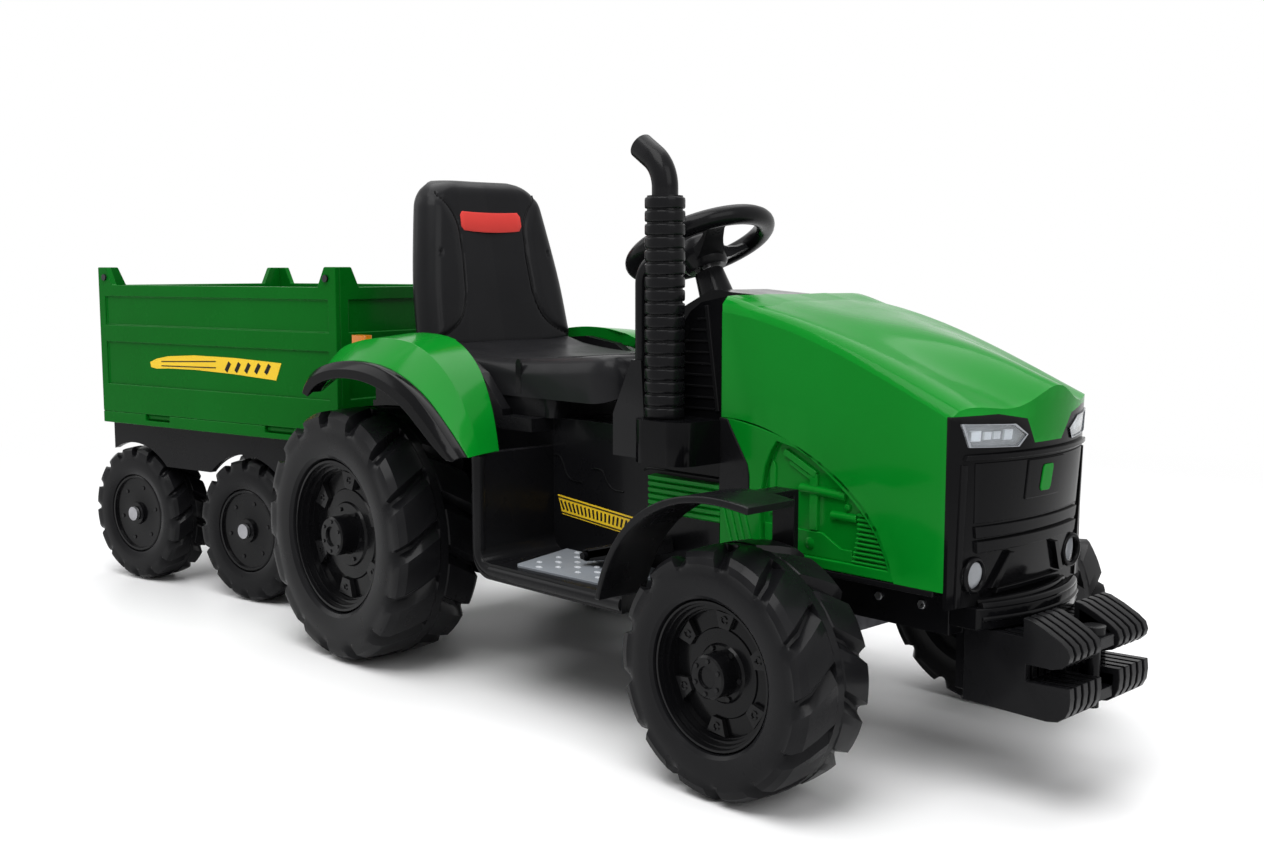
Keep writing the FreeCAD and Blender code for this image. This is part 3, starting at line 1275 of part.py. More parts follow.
recess(rod_body, "XY", [rect(arm_x - S.rod_slot_rear, arm_x + S.rod_slot_front, arm_y - S.rod_slot_half,
                             arm_y + S.rod_slot_half),
                        rect(arm_x - S.rod_slot_rear, arm_x + S.rod_slot_front, -arm_y - S.rod_slot_half,
                             -arm_y + S.rod_slot_half)], S.rod_bottom - S.overrun, S.rod_top + S.overrun)
slab(rod_body, "XZ", rect(S.fork_rear, S.fork_front, S.rod_top - S.overrun, S.fork_top), S.fork_inner,
     S.fork_outer)
slab(rod_body, "XZ", rect(S.fork_rear, S.fork_front, S.rod_top - S.overrun, S.fork_top), -S.fork_outer,
     -S.fork_inner)
front_node("tie_rod", [rod_body])

# Exhaust on the right side: box, ringed stack and bent tip, with the hand rail behind it.
body = new_body("exhaust_box_body")
slab(body, "XY", rect(S.exhaust_box_rear, S.exhaust_box_front, -S.exhaust_box_outer, -S.cowl_half),
     S.exhaust_box_bottom, S.stack_bottom)
round_edges(body, S.exhaust_box_round, lambda e: along(e, V(0, 0, 1)) and outside(e, S.exhaust_box_outer))
front_node("exhaust_box", [body])
stack_body = new_body("stack_body")
stack_top = S.stack_bottom + S.stack_pitch * S.stack_count


def disc(body, radius, low, high):
    profile = body.newObject("Sketcher::SketchObject", "outline")
    profile.AttachmentSupport = [(origin(body, "XY_Plane"), "")]
    profile.MapMode = "FlatFace"
    bind(profile, "AttachmentOffset.Base.z", low)
    profile.addGeometry(Part.Circle(V(), V(0, 0, 1), radius.value), False)
    profile.addConstraint(Sketcher.Constraint("Coincident", 0, 3, -1, 1))
    index = profile.addConstraint(Sketcher.Constraint("Radius", 0, radius.value))
    bind(profile, "Constraints[%d]" % index, radius)
    pad = body.newObject("PartDesign::Pad", "pad")
    pad.Profile = profile
    bind(pad, "Length", high - low)
    body.Tip = pad
    return pad


disc(stack_body, S.stack_core, S.stack_bottom, stack_top)
ring_pad = disc(stack_body, S.stack_radius, S.stack_bottom, S.stack_bottom + S.stack_ring)
row_pattern(stack_body, ring_pad, "Z_Axis", S.stack_pitch, S.stack_count)
node("exhaust_stack", [stack_body], shift + stretch + S.stack_x, -S.stack_y)


def tip_pipe(radius):
    start = V(S.stack_x.value, -S.stack_y.value, stack_top.value)
    knee = start + V(0, 0, S.tip_rise.value)
    centre = knee - V(S.tip_bend.value, 0, 0)
    turn = math.radians(S.tip_turn.value)

    def swing(angle):
        return centre + V(S.tip_bend.value * math.cos(angle), 0, S.tip_bend.value * math.sin(angle))

    end = swing(turn)
    last = end + V(-math.sin(turn), 0, math.cos(turn)) * S.tip_straight.value
    path = Part.Wire([Part.makeLine(start, knee), Part.Arc(knee, swing(turn / 2.0), end).toShape(),
                      Part.makeLine(end, last)])
    ring_wire = Part.Wire(Part.makeCircle(radius, start, V(0, 0, 1)))
    return path.makePipeShell([ring_wire], True, True)


tip = feature("tip_pipe", tip_pipe(S.tip_radius.value).cut(tip_pipe(S.tip_bore.value)))
front_node("exhaust_tip", [tip])


def rail_pipe():
    start = V(S.stack_x.value, -S.stack_y.value, S.rail_top.value)
    centre = V(S.rail_x.value + S.rail_bend.value, start.y, S.rail_top.value - S.rail_bend.value)
    bend_start = centre + V(0, 0, S.rail_bend.value)
    bend_end = centre - V(S.rail_bend.value, 0, 0)
    half = math.sqrt(0.5) * S.rail_bend.value
    bend = Part.Arc(bend_start, centre + V(-half, 0, half), bend_end).toShape()
    foot = V(S.rail_x.value, start.y, S.rail_low.value)
    path = Part.Wire([Part.makeLine(start, bend_start), bend, Part.makeLine(bend_end, foot)])
    ring_wire = Part.Wire(Part.makeCircle(S.rail_radius.value, start, V(-1, 0, 0)))
    return path.makePipeShell([ring_wire], True, True)


rail_sweep = feature("rail_sweep", rail_pipe())
rail_stop = rod("rail_stop", "Z", S.stack_radius, S.stack_bottom, stack_top, S.stack_x, -S.stack_y)
rail_foot = new_body("rail_foot")
foot_half = S.rail_radius + S.overrun / 2.0
slab(rail_foot, "XZ", [(S.rail_x - foot_half, S.rail_low + S.rail_radius),
                       (S.rail_x + foot_half, S.rail_low + S.rail_radius),
                       (S.exhaust_box_rear, S.stack_bottom), (S.exhaust_box_rear, S.exhaust_box_bottom),
                       (S.rail_foot_rear, S.exhaust_box_bottom), (S.rail_foot_rear, S.stack_bottom)],
     -S.stack_y - foot_half, -S.cowl_half)
front_node("hand_rail", [cut("rail_cut", fuse("rail_fused", [rail_sweep, rail_foot]), [rail_stop])])

# Tow bar and pin.
bar_end = -S.hitch_back - S.tow_bar_half
bar = box("tow_bar_strip", -S.hitch_back, S.body_rear, -S.tow_bar_half, S.tow_bar_half, S.tow_bar_bottom,
          S.tow_bar_top)
bar_eye = rod("tow_bar_eye", "Z", S.tow_bar_half, S.tow_bar_bottom, S.tow_bar_top, -S.hitch_back, 0.0)
tractor_node("tow_bar", [fuse("tow_bar_fused", [bar, bar_eye])])
tow_pin = rod("tow_pin_rod", "Z", S.tow_pin_radius, S.tow_bar_top, S.tow_pin_top, -S.hitch_back, 0.0)
tow_flange = rod("tow_pin_flange", "Z", S.tow_flange_radius, S.tow_bar_top, S.tow_bar_top + S.tow_flange,
                 -S.hitch_back, 0.0)
tractor_node("tow_pin", [fuse("tow_pin_fused", [tow_pin, tow_flange])])

# Trailer, drawn from the tow pin with its length along -X.
body = new_body("trailer_frame_body")
frame_low = S.floor_bottom - S.t_frame_plate
slab(body, "XY", [(-S.t_frame_rear, -S.t_frame_half), (as_size(0), -S.t_frame_half),
                  (S.t_frame_front, -S.t_frame_nose_half), (S.t_frame_front, S.t_frame_nose_half),
                  (as_size(0), S.t_frame_half), (-S.t_frame_rear, S.t_frame_half)], frame_low, S.floor_bottom)
skirt_in = S.t_frame_half - S.t_skirt
for low, high in ((-S.t_frame_half, -skirt_in), (skirt_in, S.t_frame_half)):
    slab(body, "XZ", rect(-S.t_frame_rear, as_size(0), S.t_frame_bottom, frame_low), low, high)
for axle in (S.t_front_axle, S.t_rear_axle):
    for low, high in ((-S.t_hanger_outer, -S.t_hanger_inner), (S.t_hanger_inner, S.t_hanger_outer)):
        slab(body, "XZ", rect(-axle - S.t_hanger_half, -axle + S.t_hanger_half, S.t_radius - S.t_hanger_drop,
                              frame_low), low, high)
boss = rod("trailer_boss", "Z", S.t_boss_radius, S.t_boss_bottom, frame_low + S.overrun, 0.0, 0.0)
tools = [rod("boss_bore", "Z", S.tow_pin_radius + S.running_gap, S.t_boss_bottom - S.overrun,
             S.tow_pin_top + S.overrun, 0.0, 0.0)]
for name, axle in (("front", S.t_front_axle), ("rear", S.t_rear_axle)):
    tools.append(rod("hanger_bore_" + name, "Y", S.axle_radius + S.running_gap, -S.t_frame_half,
                     S.t_frame_half, -axle, S.t_radius))
    arch_in = skirt_in - S.overrun
    arch_out = S.t_frame_half + S.overrun
    tools.append(rod("arch_cut_right_" + name, "Y", S.t_arch, -arch_out, -arch_in, -axle, S.t_radius))
    tools.append(rod("arch_cut_left_" + name, "Y", S.t_arch, arch_in, arch_out, -axle, S.t_radius))
trailer_node("trailer_frame", [cut("trailer_frame_cut", fuse("trailer_frame_fused", [body, boss]), tools)])
body = new_body("trailer_floor_body")
slab(body, "XY", rect(-S.box_rear, S.box_front, -S.box_half, S.box_half), S.floor_bottom, S.floor_top)
lip_spans = ((-S.box_rear, -S.lip_rear_front), (-S.lip_middle_rear, -S.lip_middle_front),
             (S.lip_front_rear, S.box_front))
for low, high in ((-S.box_half, -S.box_half + S.box_wall), (S.box_half - S.box_wall, S.box_half)):
    for start, end in lip_spans:
        slab(body, "XZ", rect(start, end, S.floor_top - S.overrun, S.panel_bottom), low, high)
end_in = S.box_half - S.box_wall
for low, high in ((-S.box_rear, -S.box_rear + S.box_wall), (S.box_front - S.box_wall, S.box_front)):
    slab(body, "YZ", rect(-end_in + S.lip_gap, end_in - S.lip_gap, S.floor_top - S.overrun, S.panel_bottom),
         low, high)
trailer_node("trailer_floor", [body])


def panel_outline(low, high):
    """A panel with a trapezoid tab standing at each end."""
    return [(low, S.panel_bottom), (high, S.panel_bottom), (high, S.tab_top), (high - S.tab_tip, S.tab_top),
            (high - S.tab_length, S.panel_top), (low + S.tab_length, S.panel_top),
            (low + S.tab_tip, S.tab_top), (low, S.tab_top)]


def fields(low, high):
    start = low + S.panel_border
    end = high - S.panel_border
    return [rect(start, end, S.panel_bottom + S.panel_foot, S.panel_rib_height - S.panel_rib),
            rect(start, end, S.panel_rib_height, S.panel_top - S.panel_rail)]


side_panel = new_body("side_panel")
slab(side_panel, "XZ", panel_outline(-S.box_rear, S.box_front), -S.box_half, -end_in)
recess(side_panel, "XZ", fields(-S.box_rear, S.box_front), -S.box_half - S.overrun,
       -S.box_half + S.box_recess)
trailer_node("trailer_side_panels", [side_panel, mirror("side_panel_mirror", side_panel)])
front_panel = new_body("front_panel")
slab(front_panel, "YZ", panel_outline(-end_in, end_in), S.box_front - S.box_wall, S.box_front)
recess(front_panel, "YZ", fields(-end_in, end_in), S.box_front - S.box_recess, S.box_front + S.overrun)
rear_panel = new_body("rear_panel")
slab(rear_panel, "YZ", panel_outline(-end_in, end_in), -S.box_rear, -S.box_rear + S.box_wall)
recess(rear_panel, "YZ", fields(-end_in, end_in), -S.box_rear - S.overrun, -S.box_rear + S.box_recess)
trailer_node("trailer_end_panels", [front_panel, rear_panel])
bolts = []
for name, x in (("rear", -S.box_rear + S.bolt_inset), ("front", S.box_front - S.bolt_inset)):
    head = rod("bolt_" + name, "Y", S.bolt_radius, -S.box_half - S.bolt_head, -S.box_half, x, S.bolt_height)
    bolts += [head, mirror("bolt_mirror_" + name, head)]
trailer_node("trailer_bolts", bolts)
axles = []
for name, axle in (("front", S.t_front_axle), ("rear", S.t_rear_axle)):
    bar = rod("trailer_axle_" + name, "Y", S.axle_radius, -S.t_axle_half, S.t_axle_half, -axle, S.t_radius)
    nut_in = S.t_axle_half - S.t_nut
    nuts = [rod("nut_right_" + name, "Y", S.t_nut_radius, -S.t_axle_half, -nut_in, -axle, S.t_radius),
            rod("nut_left_" + name, "Y", S.t_nut_radius, nut_in, S.t_axle_half, -axle, S.t_radius)]
    axles.append(fuse("trailer_axle_fused_" + name, [bar] + nuts))
trailer_node("trailer_axles", axles)
for end, axle in (("front", S.t_front_axle), ("rear", S.t_rear_axle)):
    for side, sign, extra in (("right", -1.0, 0.0), ("left", 1.0, 180.0)):
        turn = S.trailer_turn
        far_x = -axle * turn.cosine() - t_centre * sign * turn.sine()
        far_y = -axle * turn.sine() + t_centre * sign * turn.cosine()
        node("trailer_wheel_%s_%s" % (end, side), [trailer_tyre, trailer_rim],
             shift - S.hitch_back + far_x, far_y, S.t_radius, V(0, 0, 1), turn + extra)

doc.recompute()

for item in doc.Objects:
    if "Invalid" in item.State or "Error" in item.State:
        raise RuntimeError("%s did not recompute" % item.Label)
if len(NODES) > 60:
    raise RuntimeError("too many nodes: %d" % len(NODES))
for item in NODES:
    if item.Shape.isNull() or not item.Shape.isValid() or not item.Shape.Solids:
        raise RuntimeError("%s has no valid shape" % item.Label)
    item.Shape.exportStep("parts/%s.step" % item.Label)
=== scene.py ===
"""Looks for the ride-on tractor toy and its trailer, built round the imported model."""
from collections import namedtuple
from functools import partial
from math import ceil, cos, exp, hypot, pi, radians, sin, sqrt, tau

import bmesh
import bpy
from mathutils import Matrix, Vector


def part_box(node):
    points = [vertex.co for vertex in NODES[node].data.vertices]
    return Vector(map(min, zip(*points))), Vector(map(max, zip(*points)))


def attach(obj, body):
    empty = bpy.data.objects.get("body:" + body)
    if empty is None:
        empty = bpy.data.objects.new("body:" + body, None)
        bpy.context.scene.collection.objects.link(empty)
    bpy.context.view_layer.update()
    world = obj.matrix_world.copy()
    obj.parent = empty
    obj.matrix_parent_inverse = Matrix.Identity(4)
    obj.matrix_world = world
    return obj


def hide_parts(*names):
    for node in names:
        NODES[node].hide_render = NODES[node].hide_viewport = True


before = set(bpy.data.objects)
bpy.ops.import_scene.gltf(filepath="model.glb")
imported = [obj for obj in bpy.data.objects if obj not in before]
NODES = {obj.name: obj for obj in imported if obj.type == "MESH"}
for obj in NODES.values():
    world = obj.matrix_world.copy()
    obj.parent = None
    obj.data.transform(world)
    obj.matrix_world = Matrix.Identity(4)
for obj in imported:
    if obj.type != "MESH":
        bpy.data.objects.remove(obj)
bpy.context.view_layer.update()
SCENE = bpy.context.scene
MM = 0.001


# Places, in millimetres from the ground under the rear axle, or under the tow pin for the trailer
def middle(node):
    low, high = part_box(node)
    return (low + high) / 2


TOW = middle("tow_pin")
TRAILER_TURN = radians(11.6)
TRACTOR = Matrix.Translation((middle("rear_axle").x, 0, 0))
TRAILER = Matrix.Translation((TOW.x, TOW.y, 0)) @ Matrix.Rotation(TRAILER_TURN, 4, "Z")
TRACTOR_MM = TRACTOR @ Matrix.Scale(MM, 4)
TRAILER_MM = TRAILER @ Matrix.Scale(MM, 4)
SIGNS = (-1, 1)
SIDES = tuple(zip(("right", "left"), SIGNS))


def at(x, y, z):
    return TRACTOR @ (Vector((x, y, z)) * MM)


# Materials
PLASTIC_DRIFT = 9
PLASTIC_SCUFFS = 26
# Painted highlight on sharp edges: its least and greatest share and the edge sharpness it spans, then how
# much paler its colour is
EDGE_HIGHLIGHT = (0, 0.35, 0.53, 0.62)
PALE_GAIN = 1.6
PALE_LIFT = 0.015
COAT_ROUGH = 0.1
GRAIN_STRENGTH = 0.25
METAL_DRIFT = 40
METAL_DULL = 0.72
METAL_SCUFFS = 120
LENS_DRIFT = 60
LENS_SHADE = 0.86
LENS_SCUFFS = 90
LENS_IOR = 1.45


def feed(tree, node, inputs):
    """Sets a node's inputs, or links them to the outputs of other nodes."""
    for key, value in inputs.items():
        if isinstance(value, bpy.types.NodeSocket):
            tree.links.new(value, node.inputs[key])
        else:
            node.inputs[key].default_value = value


def add(tree, kind, inputs, **settings):
    node = tree.nodes.new("ShaderNode" + kind)
    for key, value in settings.items():
        setattr(node, key, value)
    feed(tree, node, inputs)
    return node


def new_material(name):
    material = bpy.data.materials.new(name)
    material.use_nodes = True
    tree = material.node_tree
    return material, tree, tree.nodes["Principled BSDF"]


def texture_point(tree):
    return add(tree, "TexCoord", {}).outputs["Object"]


def noise(tree, scale, detail=3):
    inputs = {"Scale": scale, "Detail": detail, "Vector": texture_point(tree)}
    return add(tree, "TexNoise", inputs).outputs["Fac"]


def ranged(tree, value, low, high, start=0.3, stop=0.7, **settings):
    inputs = {"Value": value, "From Min": start, "From Max": stop, "To Min": low, "To Max": high}
    return add(tree, "MapRange", inputs, **settings).outputs["Result"]


def mixed(tree, share, first, second):
    return add(tree, "Mix", {"Factor": share, 6: first, 7: second}, data_type="RGBA").outputs[2]


def drifting(tree, scale, first, second):
    """A slow drift between two colours."""
    return mixed(tree, ranged(tree, noise(tree, scale), 0, 1), first + (1,), second + (1,))


def bump(tree, height, strength, distance):
    inputs = {"Strength": strength, "Distance": distance, "Height": height}
    return add(tree, "Bump", inputs).outputs["Normal"]


def plastic(name, colour, faded, rough, grain, depth, coat, gleam):
    """Moulded plastic: colour drift, scuffs, a painted highlight on sharp edges, and a fine grain."""
    material, tree, shader = new_material(name)
    tint = drifting(tree, PLASTIC_DRIFT, colour, faded)
    # Painted highlight: sharp convex edges are mixed towards a paler colour.
    edge_highlight = ranged(tree, add(tree, "NewGeometry", {}).outputs["Pointiness"], *EDGE_HIGHLIGHT)
    pale = tuple(min(1, channel * PALE_GAIN + PALE_LIFT) for channel in faded) + (1,)
    feed(tree, shader, {
        "Base Color": mixed(tree, edge_highlight, tint, pale),
        "Roughness": ranged(tree, noise(tree, PLASTIC_SCUFFS), rough - 0.05, rough + 0.07),
        "Specular IOR Level": gleam,
        "Coat Weight": coat,
        "Coat Roughness": COAT_ROUGH,
        "Normal": bump(tree, noise(tree, grain, 2), GRAIN_STRENGTH, depth),
    })
    return material


def metal(name, colour, rough):
    material, tree, shader = new_material(name)
    dull = tuple(channel * METAL_DULL for channel in colour)
    feed(tree, shader, {
        "Base Color": drifting(tree, METAL_DRIFT, colour, dull),
        "Metallic": 1,
        "Roughness": ranged(tree, noise(tree, METAL_SCUFFS), rough - 0.06, rough + 0.1),
        "Normal": bump(tree, noise(tree, 900), 0.12, 0.0002),
    })
    return material


def lens(name, colour, rough, through):
    material, tree, shader = new_material(name)
    shade = tuple(channel * LENS_SHADE for channel in colour)
    feed(tree, shader, {
        "Base Color": drifting(tree, LENS_DRIFT, colour, shade),
        "Roughness": ranged(tree, noise(tree, LENS_SCUFFS), rough, rough + 0.06),
        "Transmission Weight": through,
        "IOR": LENS_IOR,
        "Normal": bump(tree, noise(tree, 260), 0.05, 0.0003),
    })
    return material


# Plastics: colour, faded colour, roughness, grain, depth of the grain, coat and gleam
GREEN = plastic(
    "green gloss plastic", (0.001, 0.172, 0.0115), (0.0016, 0.185, 0.014), 0.17, 700, 0.00004, 0.1, 0.03)
TRAILER_GREEN = plastic(
    "trailer green plastic", (0.0009, 0.102, 0.0068), (0.0014, 0.112, 0.0085),
    0.24, 700, 0.00005, 0.05, 0.03)
BLACK = plastic(
    "black satin plastic", (0.0042, 0.0042, 0.0049), (0.006, 0.006, 0.0067), 0.28, 900, 0.00008, 0.07, 0.06)
GLOSS_BLACK = plastic(
    "black gloss plastic", (0.0028, 0.0028, 0.0033), (0.004, 0.004, 0.0045), 0.15, 600, 0.00004, 0.08, 0.03)
TYRE = plastic(
    "tyre plastic", (0.0046, 0.0046, 0.0053), (0.0066, 0.0066, 0.0074), 0.3, 620, 0.0001, 0.07, 0.06)
RIM = plastic(
    "rim plastic", (0.003, 0.003, 0.0035), (0.0045, 0.0045, 0.005), 0.22, 800, 0.00008, 0.1, 0.06)
SEAT = plastic(
    "seat plastic", (0.0064, 0.0064, 0.0073), (0.009, 0.009, 0.01), 0.36, 1300, 0.0002, 0.05, 0.07)
GREY = plastic(
    "grey step plastic", (0.165, 0.18, 0.2), (0.19, 0.205, 0.225), 0.4, 800, 0.0001, 0, 0.2)
PALE = plastic(
    "pale grey plastic", (0.36, 0.38, 0.41), (0.42, 0.44, 0.46), 0.36, 800, 0.00006, 0, 0.2)
LAMP_WHITE = plastic(
    "lamp white", (0.72, 0.75, 0.8), (0.78, 0.8, 0.84), 0.25, 800, 0.00004, 0, 0.2)
YELLOW = plastic(
    "yellow film", (0.75, 0.5, 0.02), (0.68, 0.42, 0.015), 0.3, 500, 0.00003, 0.1, 0.15)
RED = plastic(
    "red plaque", (0.58, 0.045, 0.036), (0.52, 0.036, 0.03), 0.32, 700, 0.00006, 0.05, 0.15)
STEEL = metal("zinc steel", (0.62, 0.62, 0.64), 0.3)
MOTOR = metal("motor can", (0.38, 0.38, 0.4), 0.42)
# Dark steel; on the front axle, knuckles and tie rod its darkness is also painted shade under the frame.
DARK_STEEL = metal("dark steel and painted shade", (0.05, 0.05, 0.055), 0.38)
SILVER = metal("reflector", (0.36, 0.375, 0.4), 0.2)
CLEAR = lens("clear lens", (0.92, 0.95, 0.97), 0.03, 0.92)
FOG = lens("fog lens", (0.42, 0.44, 0.47), 0.12, 0.35)
AMBER = lens("amber lens", (0.95, 0.3, 0.02), 0.1, 0.35)

# What each solid is made of, where it isn't black plastic
NODE_LOOKS = (
    (GREEN, ("bonnet", "engine_panels", "rear_mudguard_left", "rear_mudguard_right")),
    (TRAILER_GREEN, ("trailer_floor", "trailer_side_panels", "trailer_end_panels")),
    (GLOSS_BLACK, ("grille", "nose_bumper", "exhaust_box", "cowl", "mudguard_lips")),
    (SEAT, ("seat",)),
    (GREY, ("foot_plates",)),
    (CLEAR, ("headlights",)),
    (FOG, ("fog_lamps",)),
    (AMBER, ("tail_lamps",)),
    (MOTOR, ("drive_motors", "trailer_axles")),
    (STEEL, ("rear_axle", "steering_shaft", "tow_pin")),
    # Painted shade: the front axle, knuckles and tie rod are dark steel for the shade under the frame.
    (DARK_STEEL, ("front_axle", "knuckle_left", "knuckle_right", "tie_rod", "tow_bar", "trailer_bolts")),
)
for solid in NODES.values():
    solid.data.materials.clear()
    solid.data.materials.append(BLACK)
for look, node_names in NODE_LOOKS:
    for node_name in node_names:
        NODES[node_name].data.materials[0] = look

# Widths of the moulded edges on the plain solids
SOFT_EDGES = {
    1.2: ("front_frame",),
    1.5: ("front_hook", "cowl", "tow_bar"),
    1.6: ("trailer_side_panels", "trailer_end_panels", "trailer_floor", "trailer_frame"),
    2: ("nose_bumper", "seat_base"),
    2.4: ("front_mudguards", "mudguard_lips"),
    2.5: ("exhaust_box",),
    3: ("main_body", "tail_lamps"),
}
WELD_GAP = 0.02


def soften(solid, width, segments, degrees):
    """Rounds the edges sharper than an angle."""
    edge = solid.modifiers.new("edge", "BEVEL")
    edge.width = width * MM
    edge.segments = segments
    edge.limit_method = "ANGLE"
    edge.angle_limit = radians(degrees)
    edge.harden_normals = True


for edge_width, node_names in SOFT_EDGES.items():
    for node_name in node_names:
        weld = NODES[node_name].modifiers.new("weld", "WELD")
        weld.merge_threshold = WELD_GAP * MM
        soften(NODES[node_name], edge_width, 3, 40)


# Camera, light and floor
CAMERA_PLACE = (1516.2, -1185.5, 499.4)
CAMERA_YAW = radians(46.43)
CAMERA_PITCH = radians(6.26)
CAMERA_LENS = 39.32
CAMERA_SENSOR = 36
WORLD_LIGHT = 0.3
WORLD_WHITE = 1
FLOOR_SIZE = 30
FLOOR_DROP = 0.0005
FLOOR_DRIFT = 1.5
FLOOR_FADE = (1, 2.6)
# Lamps: name, place, what it looks at, size in metres and watts
LAMPS = (
    ("key", (900, -1500, 3200), (200, 0, 200), 2.2, 95),
    ("top", (-500, 700, 3200), (0, 0, 200), 3, 80),
    ("fill", (2700, -300, 1700), (400, 0, 250), 1.6, 22),
    ("rear", (-2400, -1500, 1900), (-300, 0, 250), 1.6, 15),
)


def seen_directly(tree):
    """One for rays from the camera, a mirror or a lens, which see white far away."""
    path = add(tree, "LightPath", {})
    value = path.outputs["Is Camera Ray"]
    for name in ("Is Glossy Ray", "Is Transmission Ray"):
        value = add(tree, "Math", {0: value, 1: path.outputs[name]}, operation="MAXIMUM").outputs[0]
    return value


def camera_and_lamps():
    camera = bpy.data.objects.new("camera", bpy.data.cameras.new("camera"))
    SCENE.collection.objects.link(camera)
    camera.data.sensor_width = CAMERA_SENSOR
    camera.data.lens = CAMERA_LENS
    level = cos(CAMERA_PITCH)
    look = Vector((-sin(CAMERA_YAW) * level, cos(CAMERA_YAW) * level, -sin(CAMERA_PITCH)))
    camera.location = at(*CAMERA_PLACE)
    camera.rotation_euler = look.to_track_quat("-Z", "Y").to_euler()
    SCENE.camera = camera
    for name, place, aim, size, power in LAMPS:
        lamp = bpy.data.objects.new(name, bpy.data.lights.new(name, "AREA"))
        lamp.data.size = size
        lamp.data.energy = power
        lamp.location = at(*place)
        lamp.rotation_euler = (at(*aim) - lamp.location).to_track_quat("-Z", "Y").to_euler()
        SCENE.collection.objects.link(lamp)


def surroundings():
    """A white world that lights softly."""
    world = bpy.data.worlds.new("studio")
    SCENE.world = world
    world.use_nodes = True
    tree = world.node_tree
    level = ranged(tree, seen_directly(tree), WORLD_LIGHT, WORLD_WHITE, 0, 1)
    feed(tree, tree.nodes["Background"], {"Color": (1, 1, 1, 1), "Strength": level})


def studio_floor():
    """A pale floor that fades to white far away."""
    bpy.ops.mesh.primitive_plane_add(size=FLOOR_SIZE, location=(0, 0, -FLOOR_DROP))
    floor = bpy.context.object
    floor.name = "floor"
    material, tree, shader = new_material("pale floor")
    feed(tree, shader, {
        "Base Color": drifting(tree, FLOOR_DRIFT, (0.9, 0.9, 0.91), (0.93, 0.93, 0.93)),
        "Roughness": 0.4,
        "Specular IOR Level": 0.15,
    })
    away = add(tree, "VectorMath", {0: texture_point(tree)}, operation="LENGTH").outputs["Value"]
    fade = ranged(tree, away, 0, 1, *FLOOR_FADE, interpolation_type="SMOOTHSTEP")
    share = add(tree, "Math", {0: fade, 1: seen_directly(tree)}, operation="MULTIPLY").outputs[0]
    white = add(tree, "Emission", {}).outputs[0]
    blend = add(tree, "MixShader", {0: share, 1: shader.outputs[0], 2: white})
    feed(tree, tree.nodes["Material Output"], {"Surface": blend.outputs[0]})
    floor.data.materials.append(material)


camera_and_lamps()
surroundings()
studio_floor()
SCENE.view_settings.view_transform = "Standard"


# Mesh tools, in millimetres
def piece(name, shape, place, body, material, crease=30, bevel=0):
    """A finished piece, smooth except at its creases, riding on a body."""
    bmesh.ops.remove_doubles(shape, verts=shape.verts, dist=0.005)
    bmesh.ops.recalc_face_normals(shape, faces=shape.faces)
    shape.transform(place)
    mesh = bpy.data.meshes.new(name)
    shape.to_mesh(mesh)
    shape.free()
    mesh.materials.append(material)
    mesh.polygons.foreach_set("use_smooth", [True] * len(mesh.polygons))
    mesh.set_sharp_from_angle(angle=radians(crease))
    made = bpy.data.objects.new(name, mesh)
    SCENE.collection.objects.link(made)
    if bevel:
        soften(made, bevel, 2, crease)
    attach(made, body)
    return made


def fixed(slot, material, name, shape, crease=30, bevel=0):
    """A piece that is fixed to the tractor's body."""
    return piece(name, shape, TRACTOR_MM, "chassis", material, crease, bevel)


green = partial(fixed, "body_green", GREEN)
gloss = partial(fixed, "body_black", GLOSS_BLACK)
satin = partial(fixed, "body_black", BLACK)


def join(shapes):
    whole = bmesh.new()
    for shape in shapes:
        mesh = bpy.data.meshes.new("part")
        shape.to_mesh(mesh)
        shape.free()
        whole.from_mesh(mesh)
        bpy.data.meshes.remove(mesh)
    return whole


def turns(count):
    """Angles evenly round a circle."""
    return [tau * k / count for k in range(count)]


def spread(reach, count):
    """Places evenly from one side to the other."""
    return [reach * (2 * k / count - 1) for k in range(count + 1)]


def disc(centre, radius, count):
    """Points round a circle that faces along Y."""
    return [Vector(centre) + Vector((radius * cos(a), 0, radius * sin(a))) for a in turns(count)]


def closed(ring):
    """Each member of a ring with the next."""
    return zip(ring, ring[1:] + ring[:1])


def quads(first, second):
    """The corners of each quad between two rings."""
    return [(a, b, d, c) for (a, b), (c, d) in zip(closed(first), closed(second))]


def loft(shape, rings, caps=True):
    """Skins closed rings of equally many points, and caps the first and last."""
    rows = [[shape.verts.new(point) for point in ring] for ring in rings]
    for low, high in zip(rows, rows[1:]):
        for corners in quads(low, high):
            shape.faces.new(corners)
    if caps:
        shape.faces.new(rows[0])
        shape.faces.new(rows[-1])


def lofted(rings, caps=True):
    shape = bmesh.new()
    loft(shape, rings, caps)
    return shape


def prism(shape, outline, reach):
    """A flat outline pushed along a vector."""
    reach = Vector(reach)
    loft(shape, [[Vector(point) for point in outline], [Vector(point) + reach for point in outline]])


def pushed(outline, reach):
    shape = bmesh.new()
    prism(shape, outline, reach)
    return shape


def revolved(profile, count):
    """Spins (radius, y) pairs about the Y axis."""
    rings = []
    for angle in turns(count) + [tau]:
        rings.append([(radius * cos(angle), y, radius * sin(angle)) for radius, y in profile])
    return lofted(rings, caps=False)


def tube(shape, path, radius, sides=12):
    """A round bar along a path."""
    path = [Vector(point) for point in path]
    rings = []
    across = None
    for i, point in enumerate(path):
        along = (path[min(i + 1, len(path) - 1)] - path[max(i - 1, 0)]).normalized()
        if across is None:
            across = along.orthogonal().normalized()
        across = (across - along * across.dot(along)).normalized()
        other = along.cross(across)
        rings.append([point + (across * cos(a) + other * sin(a)) * radius for a in turns(sides)])
    loft(shape, rings)


def eased(first, second, leave, arrive, t):
    """Between two values, with the slope at which each is left or reached."""
    return (first * (1 + 2 * t) * (1 - t) ** 2 + leave * t * (1 - t) ** 2
            + second * t * t * (3 - 2 * t) + arrive * t * t * (t - 1))


